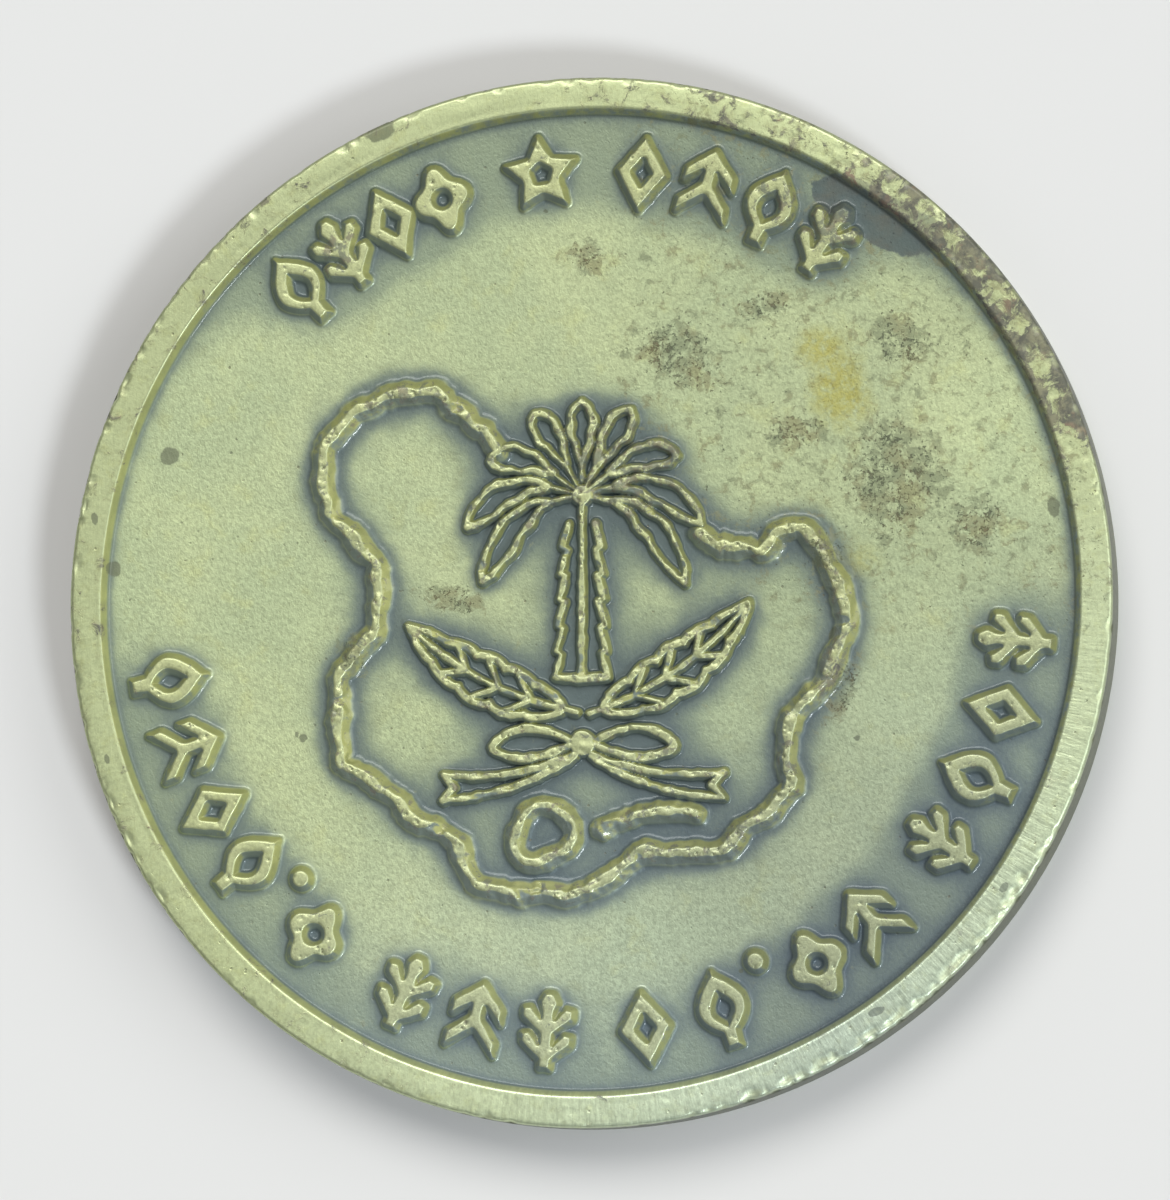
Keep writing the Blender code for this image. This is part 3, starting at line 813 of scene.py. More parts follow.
def antique_brass(name, kind):
    """Antique brass under a thin lacquer. kind is field, rim or device."""
    material = bpy.data.materials.new(name)
    material.use_nodes = True
    t = Tree(material)
    place = t.node("ShaderNodeTexCoord").outputs["Object"]
    mm = t.node("ShaderNodeVectorMath", operation="SCALE")
    t.put(mm.inputs[0], place)
    mm.inputs["Scale"].default_value = 1000.0
    p = mm.outputs[0]

    cavity = t.attribute("cavity")
    veil = t.attribute("veil")
    lift = t.attribute("lift")
    pitted = t.attribute("pitted")
    spots = t.attribute("spots")
    film = t.attribute("film")
    ochre = t.attribute("ochre")
    brown = t.attribute("brown")
    bare = t.attribute("bare")
    edge = t.attribute("edge")
    painted_light_side = t.attribute("painted_light_side")
    soiled = t.attribute("soiled")

    slow = t.noise(p, 0.22, 3.0, 0.55)
    cloudy = t.noise(t.stretched(p, location=(31, 7, 3)), 0.9, 4.0, 0.6)
    patchy = t.noise(t.stretched(p, location=(5, 41, 9)), 2.4, 4.0, 0.62)
    grain = t.noise(t.stretched(p, (1.0, 0.75, 1.0), (0, 0, 0.35)), 9.0, 2.0, 0.55, 0.3)
    fine = t.noise(t.stretched(p, location=(13, 3, 1)), 16.0, 2.0, 0.6)

    # metal: pale blasted field, olive drafted walls (their olive partly a painted reflection of the brass round them),
    # rubbed tops
    field_colour = t.mix(t.remap(slow, 0.35, 0.65), PALE_FIELD, (0.430, 0.500, 0.300))
    field_colour = t.mix(t.math("MULTIPLY", t.remap(cloudy, 0.52, 0.72), 0.40), field_colour, (0.500, 0.535, 0.250))
    top_colour = t.mix(t.math("MULTIPLY", t.remap(patchy, 0.50, 0.75), 0.5), PALE_TOP[kind], (0.480, 0.520, 0.240))
    on_wall = t.math("MULTIPLY", t.remap(lift, 0.12, 0.34), t.remap(lift, 0.99, 0.90))
    on_top = t.remap(lift, 0.90, 0.975)
    wall_colour = t.mix(t.remap(cloudy, 0.35, 0.65), OLIVE, OLIVE_DEEP)
    # painted light and shade: walls facing up and to the right are painted in lit olive, walls facing away in the
    # shaded grey of SHADED_WALL
    painted_shade_side = t.math("MULTIPLY_ADD", t.math("SUBTRACT", patchy, 0.5), 2.4, painted_light_side)
    wall_colour = t.mix(t.remap(painted_shade_side, 0.35, -0.55), wall_colour, SHADED_WALL)
    # painted light: the walls of the rim and the field are painted lighter than the device's walls
    if kind != "device":
        wall_colour = t.mix(1.0, wall_colour, (1.24, 1.24, 1.36), "MULTIPLY")
    colour = t.mix(t.math("MULTIPLY", on_wall, 0.92), field_colour, wall_colour)
    colour = t.mix(on_top, colour, top_colour)
    shade = t.remap(grain, 0.30, 0.70, 0.82, 1.13, soft=False)
    # bright specks in the grain: painted glints
    sparkle = t.remap(fine, 0.58, 0.76, 0.0, 0.14)
    shade = t.math("ADD", shade, sparkle)
    grey = t.node("ShaderNodeCombineColor")
    for socket in grey.inputs[:3]:
        t.put(socket, shade)
    grained = t.mix(1.0, colour, grey.outputs[0], "MULTIPLY")
    grain_amount = t.math("MULTIPLY", {"field": 1.0, "rim": 0.40, "device": 0.62}[kind], t.blend(on_wall, 1.0, 0.30))
    colour = t.mix(grain_amount, colour, grained)

    # antique film: a thin veil over the crowded parts, thickened round the right and top as painted shade, grey beside
    # the relief, dark in the corners
    lying = t.math("SUBTRACT", 1.0, t.remap(lift, 0.10, 0.62))
    thin = t.math("MULTIPLY_ADD", t.math("SUBTRACT", cloudy, 0.5), 0.7, veil)
    thin = t.math("MULTIPLY", t.remap(thin, 0.22, 1.0), lying)
    colour = t.mix(t.math("MULTIPLY", thin, 0.76), colour, VEIL)
    broken = t.math("MULTIPLY_ADD", t.math("SUBTRACT", cloudy, 0.5), 0.50, cavity)
    broken = t.math("MULTIPLY_ADD", t.math("SUBTRACT", grain, 0.5), 0.34, broken)
    grey_film = t.math("MULTIPLY", t.remap(broken, 0.16, 0.74), lying)
    deep_film = t.math("MULTIPLY", t.remap(broken, 0.60, 1.15), lying)
    colour = t.mix(t.math("MULTIPLY", grey_film, 0.86), colour, FILM_GREY)
    colour = t.mix(t.math("MULTIPLY", deep_film, 0.88), colour, FILM_DEEP)

    # sparse dark pores everywhere, clusters of fine pits in some places
    pores = t.cells(t.stretched(p, location=(2, 9, 4)), 2.1)
    pore = t.math("MULTIPLY", t.remap(pores.outputs["Distance"], 0.15, 0.06), t.remap(patchy, 0.52, 0.60))
    coarse_bite = t.noise(t.stretched(p, location=(9, 2, 7)), 2.6, 5.0, 0.80)
    fine_bite = t.noise(t.stretched(p, location=(4, 6, 2)), 7.0, 3.0, 0.70)
    bitten = t.math("MULTIPLY_ADD", pitted, 0.165, coarse_bite)
    bitten_fine = t.math("MULTIPLY_ADD", pitted, 0.160, fine_bite)
    coarse_pits = t.remap(bitten, 0.730, 0.775)
    fine_pits = t.math("MULTIPLY", t.remap(bitten_fine, 0.715, 0.790), 0.85)
    pits = t.math("MULTIPLY", t.math("MAXIMUM", coarse_pits, fine_pits), t.remap(pitted, 0.02, 0.20))
    dark_pits = t.math("MAXIMUM", t.math("MULTIPLY", pits, 0.82), t.math("MULTIPLY", pore, 0.50))
    dent = t.attribute("dent")
    dark_pits = t.math("MAXIMUM", dark_pits, t.math("MULTIPLY", t.remap(t.math("MULTIPLY_ADD", t.math("SUBTRACT", patchy, 0.5), 1.6, dent), 0.45, 0.95), 0.62))
    mottle = t.noise(t.stretched(p, location=(17, 3, 5)), 1.9, 5.0, 0.72, 0.4)
    tarnish = t.remap(t.math("MULTIPLY_ADD", pitted, 0.21, mottle), 0.600, 0.720)
    tarnish = t.math("MULTIPLY", tarnish, t.remap(pitted, 0.02, 0.30))
    colour = t.mix(t.math("MULTIPLY", tarnish, 0.64), colour, t.mix(t.remap(cloudy, 0.4, 0.6), (0.205, 0.235, 0.140), (0.245, 0.240, 0.130)))
    colour = t.mix(dark_pits, colour, t.mix(t.remap(cloudy, 0.4, 0.6), (0.120, 0.135, 0.085), (0.175, 0.150, 0.080)))

    # soiled tops
    soot = t.noise(t.stretched(p, location=(8, 8, 2)), 2.8, 4.0, 0.70, 0.5)
    sooty = t.math("MULTIPLY", t.remap(t.math("MULTIPLY_ADD", soiled, 0.20, soot), 0.640, 0.740), t.remap(lift, 0.25, 0.60))
    sooty = t.math("MULTIPLY", sooty, {"field": 0.0, "rim": 0.0, "device": 0.72}[kind])
    colour = t.mix(sooty, colour, t.mix(t.remap(patchy, 0.45, 0.62), (0.150, 0.165, 0.130), (0.190, 0.165, 0.125)))

    # stains
    wobble = t.math("SUBTRACT", patchy, 0.5)
    spot = t.remap(t.math("MULTIPLY_ADD", wobble, 0.9, spots), 0.02, 0.22)
    colour = t.mix(t.math("MULTIPLY", spot, 0.72), colour, (0.125, 0.140, 0.085))
    filmed = t.remap(t.math("MULTIPLY_ADD", wobble, 0.50, film), 0.0, 0.10)
    film_colour = t.mix(t.remap(cloudy, 0.35, 0.65), (0.088, 0.120, 0.124), (0.112, 0.124, 0.112))
    colour = t.mix(t.math("MULTIPLY", filmed, t.blend(on_top, 0.84, 0.45)), colour, film_colour)
    yellow = t.math("MULTIPLY", ochre, t.remap(t.noise(t.stretched(p, location=(6, 6, 6)), 3.0, 4.0, 0.66), 0.26, 0.60))
    colour = t.mix(t.math("MULTIPLY", yellow, 0.72), colour, OCHRE)
    stain = t.noise(t.stretched(p, location=(1, 1, 8)), 1.45, 6.0, 0.70, 0.5)
    rusty = t.remap(t.math("MULTIPLY_ADD", brown, 0.250, stain), 0.690, 0.790)
    brown_colour = t.mix(t.remap(patchy, 0.40, 0.62), BROWN, (0.225, 0.215, 0.145))
    brown_colour = t.mix(t.math("MULTIPLY", t.remap(cloudy, 0.58, 0.68), 0.7), brown_colour, (0.260, 0.165, 0.115))
    colour = t.mix(t.math("MULTIPLY", rusty, 0.88), colour, brown_colour)
    halo = t.math("MULTIPLY", t.remap(t.math("MULTIPLY_ADD", brown, 0.250, stain), 0.620, 0.720), t.math("SUBTRACT", 1.0, rusty))
    colour = t.mix(t.math("MULTIPLY", halo, 0.30), colour, (0.330, 0.330, 0.170))

    # streaks across the rim
    axes = t.node("ShaderNodeSeparateXYZ")
    t.put(axes.inputs[0], p)
    turn = t.math("MULTIPLY", t.math("ARCTAN2", axes.outputs[1], axes.outputs[0]), 18.4)
    reach = t.math("SQRT", t.math("ADD", t.math("MULTIPLY", axes.outputs[0], axes.outputs[0]), t.math("MULTIPLY", axes.outputs[1], axes.outputs[1])))
    unrolled = t.node("ShaderNodeCombineXYZ")
    t.put(unrolled.inputs[0], turn)
    t.put(unrolled.inputs[1], reach)
    t.put(unrolled.inputs[2], axes.outputs[2])
    across = t.noise(t.stretched(unrolled.outputs[0], (1.0, 0.16, 0.12)), 7.0, 3.0, 0.6)
    if kind == "rim":
        streak = t.remap(across, 0.30, 0.70, 0.88, 1.12, soft=False)
        tone = t.node("ShaderNodeCombineColor")
        for socket in tone.inputs[:3]:
            t.put(socket, streak)
        streaky = t.math("MULTIPLY", t.attribute("streaky"), t.math("MULTIPLY_ADD", edge, -0.85, 1.0))
        colour = t.mix(streaky, colour, t.mix(1.0, colour, tone.outputs[0], "MULTIPLY"))

    # the tone attribute: painted light and shade over the field and round the rim
    tinted = t.node("ShaderNodeCombineColor")
    for socket in tinted.inputs[:3]:
        t.put(socket, t.attribute("tone"))
    colour = t.mix(1.0, colour, tinted.outputs[0], "MULTIPLY")
    chilled = {"field": (0.985, 1.0, 1.20), "rim": (0.95, 1.0, 1.45), "device": (0.985, 1.0, 1.18)}[kind]
    colour = t.mix(t.attribute("cool"), colour, t.mix(1.0, colour, chilled, "MULTIPLY"))

    # bare metal in nicks; the coin's edge is painted dark, a painted shade
    colour = t.mix(t.math("MULTIPLY", bare, 0.40), colour, (0.640, 0.690, 0.430))
    scuffs = t.noise(t.stretched(unrolled.outputs[0], (1.0, 1.0, 0.80), (0, 0, 0), (7, 1, 3)), 4.5, 4.0, 0.66)
    scuffed = t.math("MULTIPLY_ADD", t.math("SUBTRACT", cloudy, 0.5), 0.6, scuffs)
    edge_colour = t.mix(t.remap(scuffed, 0.44, 0.68), (0.072, 0.081, 0.058), (0.112, 0.121, 0.078))
    colour = t.mix(t.math("MULTIPLY", edge, 0.90), colour, edge_colour)

    dirt = t.math("MAXIMUM", t.math("MAXIMUM", grey_film, dark_pits), t.math("MAXIMUM", rusty, t.math("MAXIMUM", spot, filmed)))
    dirt = t.math("MAXIMUM", dirt, sooty)
    base_rough = {"field": 0.52, "rim": 0.42, "device": 0.46}[kind]
    roughness = t.math("MULTIPLY_ADD", t.math("SUBTRACT", grain, 0.5), 0.22, base_rough)
    roughness = t.math("MULTIPLY_ADD", on_wall, 0.14, roughness)
    roughness = t.math("MULTIPLY_ADD", dirt, 0.10, roughness)
    roughness = t.math("MULTIPLY_ADD", bare, 0.12, roughness, clamp=True)

    # bumps: blasted grain, pits, fine rubbing marks
    rubs = t.noise(t.stretched(p, (7.0, 0.6, 1.0), (0, 0, 0.5)), 2.2, 3.0, 0.7)
    rubs2 = t.noise(t.stretched(p, (7.0, 0.5, 1.0), (0, 0, -0.9), (3, 8, 0)), 2.0, 3.0, 0.7)
    relief = t.math("MULTIPLY", grain, {"field": 1.1, "rim": 0.25, "device": 0.50}[kind])
    relief = t.math("MULTIPLY_ADD", fine, {"field": 0.34, "rim": 0.16, "device": 0.24}[kind], relief)
    relief = t.math("MULTIPLY_ADD", dark_pits, -1.6, relief)
    relief = t.math("MULTIPLY_ADD", rusty, 0.5, relief)
    relief = t.math("MULTIPLY_ADD", t.math("MAXIMUM", rubs, rubs2), {"field": 0.10, "rim": 0.40, "device": 0.28}[kind], relief)
    if kind == "rim":
        relief = t.math("MULTIPLY_ADD", across, streaky, relief)
    bump = t.node("ShaderNodeBump")
    bump.inputs["Strength"].default_value = 1.0
    bump.inputs["Distance"].default_value = 0.000013
    t.put(bump.inputs["Height"], relief)

    shader = t.node("ShaderNodeBsdfPrincipled")
    t.put(shader.inputs["Base Color"], colour)
    t.put(shader.inputs["Metallic"], t.math("MULTIPLY_ADD", dirt, -0.30, t.blend(on_wall, 0.90, 0.66)))
    t.put(shader.inputs["Roughness"], roughness)
    t.put(shader.inputs["Normal"], bump.outputs[0])
    glossy = t.math("MULTIPLY", t.math("MULTIPLY_ADD", edge, -0.6, 1.0), t.math("MULTIPLY_ADD", bare, -0.65, 1.0))
    t.put(shader.inputs["Coat Weight"], t.math("MULTIPLY", t.blend(on_top, 0.45, 0.26), glossy))
    t.put(shader.inputs["Coat Roughness"], {"field": 0.09, "rim": 0.15, "device": 0.09}[kind])
    t.put(shader.inputs["Coat IOR"], 1.5)
    output = t.node("ShaderNodeOutputMaterial")
    t.tree.links.new(shader.outputs[0], output.inputs[0])
    return material


FIELD_METAL = antique_brass("matt_field_brass", "field")
RIM_METAL = antique_brass("rubbed_rim_brass", "rim")
DEVICE_METAL = antique_brass("rubbed_device_brass", "device")


# ================================================================= relief pieces on fine grids
APRON = 0.48                     # the piece reaches this far over the field round its device
GRID = 0.036


def pits_on(x, y, height, amount, seed):
    """Small dents in the rubbed tops, as real hollows. Returns how dented each point is."""
    random = np.random.RandomState(seed)
    x0, x1, y0, y1 = x.min(), x.max(), y.min(), y.max()
    dented = np.zeros_like(height)
    for _ in range(int(amount * (x1 - x0) * (y1 - y0))):
        cx, cy = random.uniform(x0, x1), random.uniform(y0, y1)
        size, deep = 0.028 + 0.05 * random.uniform(0, 1) ** 3, random.uniform(0.010, 0.035)
        i0, i1 = np.searchsorted(x[0], [cx - 3 * size, cx + 3 * size])
        j0, j1 = np.searchsorted(y[:, 0], [cy - 3 * size, cy + 3 * size])
        if i1 - i0 < 2 or j1 - j0 < 2:
            continue
        part = np.s_[j0:j1, i0:i1]
        fall = np.exp(-0.5 * ((x[part] - cx) ** 2 + (y[part] - cy) ** 2) / size**2)
        fall = fall * np.clip(height[part] / RELIEF, 0, 1) ** 3
        height[part] -= deep * fall
        dented[part] = np.maximum(dented[part], fall * deep / 0.035)
    return dented


def relief_piece(name, function, low, high, material, nodes, rough=1.0, foot=FOOT, shoulder=SHOULDER, seed=0, pits=2.0,
                 height=RELIEF, grid=GRID):
    """A closed solid: the device and a skin of field round it, on a fine grid."""
    xs = np.arange(low[0], high[0] + grid, grid)
    ys = np.arange(low[1], high[1] + grid, grid)
    x, y = np.meshgrid(xs, ys)
    d = function(x, y)
    z, cut = relief_height(x, y, d, height, rough, foot, shoulder)
    lift = np.clip(z / height, 0, 1.05)
    # which way each wall faces, for the painted light and shade on the walls
    steep_y, steep_x = np.gradient(z, grid)
    painted_light_side = -(0.64 * steep_x + 0.77 * steep_y) / (np.hypot(steep_x, steep_y) + 0.15)
    dented = pits_on(x, y, z, pits, seed + 5)
    # the skin leaves the field at a very flat angle and ends just under it
    z = z + 0.0045 - 0.0070 * np.clip((cut - foot) / (APRON - foot), 0, 1.4)
    r = np.hypot(x, y)
    z = z - 0.0070 * np.clip((r - 17.40) / 0.10, 0, 3)
    near = (cut < APRON) & (r < 17.56)
    cell = near[:-1, :-1] & near[1:, :-1] & near[:-1, 1:] & near[1:, 1:]
    for _ in range(4):           # no two cells that meet at a corner only
        a, b, c, e = cell[:-1, :-1], cell[1:, 1:], cell[1:, :-1], cell[:-1, 1:]
        first, second = a & b & ~c & ~e, c & e & ~a & ~b
        if not (first.any() or second.any()):
            break
        grow = np.zeros_like(cell)
        grow[1:, :-1] |= first
        grow[:-1, :-1] |= second
        cell |= grow
    index = np.full(x.shape, -1)
    used = np.zeros(x.shape, bool)
    for dj in (0, 1):
        for di in (0, 1):
            used[dj : dj + cell.shape[0], di : di + cell.shape[1]] |= cell
    count = int(used.sum())
    index[used] = np.arange(count)
    jj, ii = np.nonzero(cell)
    quads = np.stack([index[jj, ii], index[jj, ii + 1], index[jj + 1, ii + 1], index[jj + 1, ii]], 1)
    ux, uy, uz = x[used], y[used], z[used]
    top = np.stack([ux, uy, FIELD_TOP + field_wave(ux, uy) + uz], 1)
    padded = np.pad(cell, 1)
    walls = []
    for dj, di, (a, b) in (
        (-1, 0, ((0, 0), (0, 1))),
        (1, 0, ((1, 1), (1, 0))),
        (0, -1, ((1, 0), (0, 0))),
        (0, 1, ((0, 1), (1, 1))),
    ):
        open_side = cell & ~padded[1 + dj : 1 + dj + cell.shape[0], 1 + di : 1 + di + cell.shape[1]]
        j, i = np.nonzero(open_side)
        walls.append(np.stack([index[j + a[0], i + a[1]], index[j + b[0], i + b[1]]], 1))
    walls = np.concatenate(walls)
    ring = np.unique(walls)
    lower = np.full(count, -1)
    lower[ring] = count + np.arange(len(ring))
    bottom = top[ring].copy()
    bottom[:, 2] = FIELD_TOP - 0.09
    side = np.stack([walls[:, 0], lower[walls[:, 0]], lower[walls[:, 1]], walls[:, 1]], 1)
    vertices = np.concatenate([top, bottom])
    mesh = make_mesh(name, vertices, np.concatenate([quads, side]))
    mask = wear_and_painted_light_masks(vertices[:, 0], vertices[:, 1])
    zeros = np.zeros(len(vertices))
    set_attributes(mesh, {
        "cavity": sampled(cavity_map, vertices[:, 0], vertices[:, 1]),
        "veil": sampled(veil_map, vertices[:, 0], vertices[:, 1]),
        "lift": np.concatenate([lift[used], np.zeros(len(ring))]),
        "dent": np.concatenate([dented[used], np.zeros(len(ring))]),
        "painted_light_side": np.concatenate([painted_light_side[used], np.zeros(len(ring))]),
        "bare": zeros,
        "edge": zeros,
        **mask,
    })
    shape = bmesh.new()
    shape.from_mesh(mesh)
    edges = [e for e in shape.edges if e.is_boundary]
    bmesh.ops.triangle_fill(shape, use_beauty=False, use_dissolve=False, edges=edges, normal=(0, 0, -1))
    bmesh.ops.recalc_face_normals(shape, faces=shape.faces)
    left_open = sum(1 for e in shape.edges if not e.is_manifold)
    if left_open:
        print(f"{name}: {left_open} edges aren't closed")
    shape.to_mesh(mesh)
    shape.free()
    upright = np.zeros(len(mesh.polygons) * 3, np.float32)
    mesh.polygons.foreach_get("normal", upright)
    mesh.polygons.foreach_set("use_smooth", upright.reshape(-1, 3)[:, 2] > 0.05)
    mesh.set_sharp_from_angle(angle=math.radians(80))
    return add_piece(name, mesh, material, nodes)


for number, (name, kind, centre, turn) in enumerate(PLACED):
    loops = turned_loops(ornament_shapes[kind], centre, turn)
    pts = np.array(loops[0])
    margin = APRON + 0.12
    low, high = pts.min(0) - margin, pts.max(0) + margin
    relief_piece(
        "struck_" + name,
        lambda x, y: polygon_distance(x, y, loops),
        low,
        high,
        DEVICE_METAL,
        [name],
        seed=100 + number,
        pits=4.0,
    )

STRUCK = {
    "palm": ["palm_crown", "palm_trunk"] + [f"palm_frond_{i}" for i in range(1, 10)],
    "leaves": ["leaf_left", "leaf_right", "ribbon_knot", "ribbon_loop_left", "ribbon_loop_right", "ribbon_tail_left", "ribbon_tail_right"],
    "island": ["coastline", "lake_shore", "river_line"],
}
for number, (key, nodes) in enumerate(STRUCK.items()):
    function, low, high, rough, foot, shoulder = DEVICES[key]
    relief_piece("struck_" + key, function, low, high, DEVICE_METAL, nodes, rough, foot, shoulder, seed=301 + number, pits=14.0)


# ================================================================= the blank with both rims
def ring_mesh(name, rings):
    """A closed turned surface from rings, inner obverse first. Each ring is (count, radii, heights, tags):
    arrays round the ring. Neighbouring rings have the same count or one twice the other's."""
    vertices, starts = [], []
    total = 0
    for count, radii, heights in rings:
        a = 2 * np.pi * np.arange(count) / count
        vertices.append(np.stack([radii * np.cos(a), radii * np.sin(a), heights], 1))
        starts.append(total)
        total += count
    quads, triangles = [], []
    for (n, *_), (m, *_), s, e in zip(rings[:-1], rings[1:], starts[:-1], starts[1:]):
        if n == m:
            k = np.arange(n)
            j = (k + 1) % n
            quads.append(np.stack([s + k, e + k, e + j, s + j], 1))
        elif m == 2 * n:
            k = np.arange(n)
            j = (k + 1) % n
            b0, b1, b2 = 2 * k, 2 * k + 1, (2 * k + 2) % m
            triangles.append(np.stack([s + k, e + b0, e + b1], 1))
            triangles.append(np.stack([s + k, e + b1, s + j], 1))
            triangles.append(np.stack([s + j, e + b1, e + b2], 1))
        elif n == 2 * m:
            k = np.arange(m)
            j = (k + 1) % m
            a0, a1, a2 = 2 * k, 2 * k + 1, (2 * k + 2) % n
            triangles.append(np.stack([s + a0, e + k, s + a1], 1))
            triangles.append(np.stack([s + a1, e + k, e + j], 1))
            triangles.append(np.stack([s + a1, e + j, s + a2], 1))
        else:
            raise ValueError((n, m))
    vertices = np.concatenate(vertices)
    first, last = rings[0][0], rings[-1][0]
    middle_top = np.array([[0, 0, float(np.mean(rings[0][2]))]])
    middle_low = np.array([[0, 0, float(np.mean(rings[-1][2]))]])
    vertices = np.concatenate([vertices, middle_top, middle_low])
    k = np.arange(first)
    triangles.append(np.stack([np.full(first, total), starts[0] + k, starts[0] + (k + 1) % first], 1))
    k = np.arange(last)
    triangles.append(np.stack([np.full(last, total + 1), starts[-1] + (k + 1) % last, starts[-1] + k], 1))
    return make_mesh(name, vertices, np.concatenate(quads), np.concatenate(triangles)), vertices


RIM_COUNT = 960
random = np.random.RandomState(77)
NICKS = []                        # angle, radius, half length, half width, depth, obverse


def add_nicks(number, low, high, radius, length, width, depth, obverse=True):
    for _ in range(number):
        NICKS.append((
            math.radians(random.uniform(low, high)), random.uniform(*radius), random.uniform(*length),
            random.uniform(*width), random.uniform(*depth), obverse,
        ))


add_nicks(130, 0, 360, (18.85, 19.08), (0.04, 0.22), (0.04, 0.09), (0.02, 0.07))
add_nicks(34, 0, 360, (18.0, 18.8), (0.04, 0.14), (0.03, 0.07), (0.006, 0.020))
add_nicks(60, -75, -28, (18.70, 19.05), (0.05, 0.30), (0.05, 0.13), (0.03, 0.10))
add_nicks(30, 130, 215, (18.80, 19.05), (0.05, 0.25), (0.05, 0.10), (0.03, 0.08))
add_nicks(36, 15, 60, (18.0, 18.9), (0.04, 0.16), (0.03, 0.09), (0.012, 0.035))
add_nicks(90, 0, 360, (18.8, 19.05), (0.05, 0.25), (0.05, 0.10), (0.02, 0.07), obverse=False)


def nick_depth(angle, r, obverse):
    """How far nicks cut into the rim round one ring, and how bare the metal is there."""
    depth = np.zeros_like(angle)
    for a, radius, length, width, deep, side in NICKS:
        if side != obverse or abs(radius - np.mean(r)) > 3 * width + 0.1:
            continue
        along = ((angle - a + math.pi) % (2 * math.pi) - math.pi) * r
        fall = np.exp(-0.5 * (along / length * 1.6) ** 2 - 0.5 * ((r - radius) / width) ** 2)
        depth = np.maximum(depth, deep * fall)
    return depth


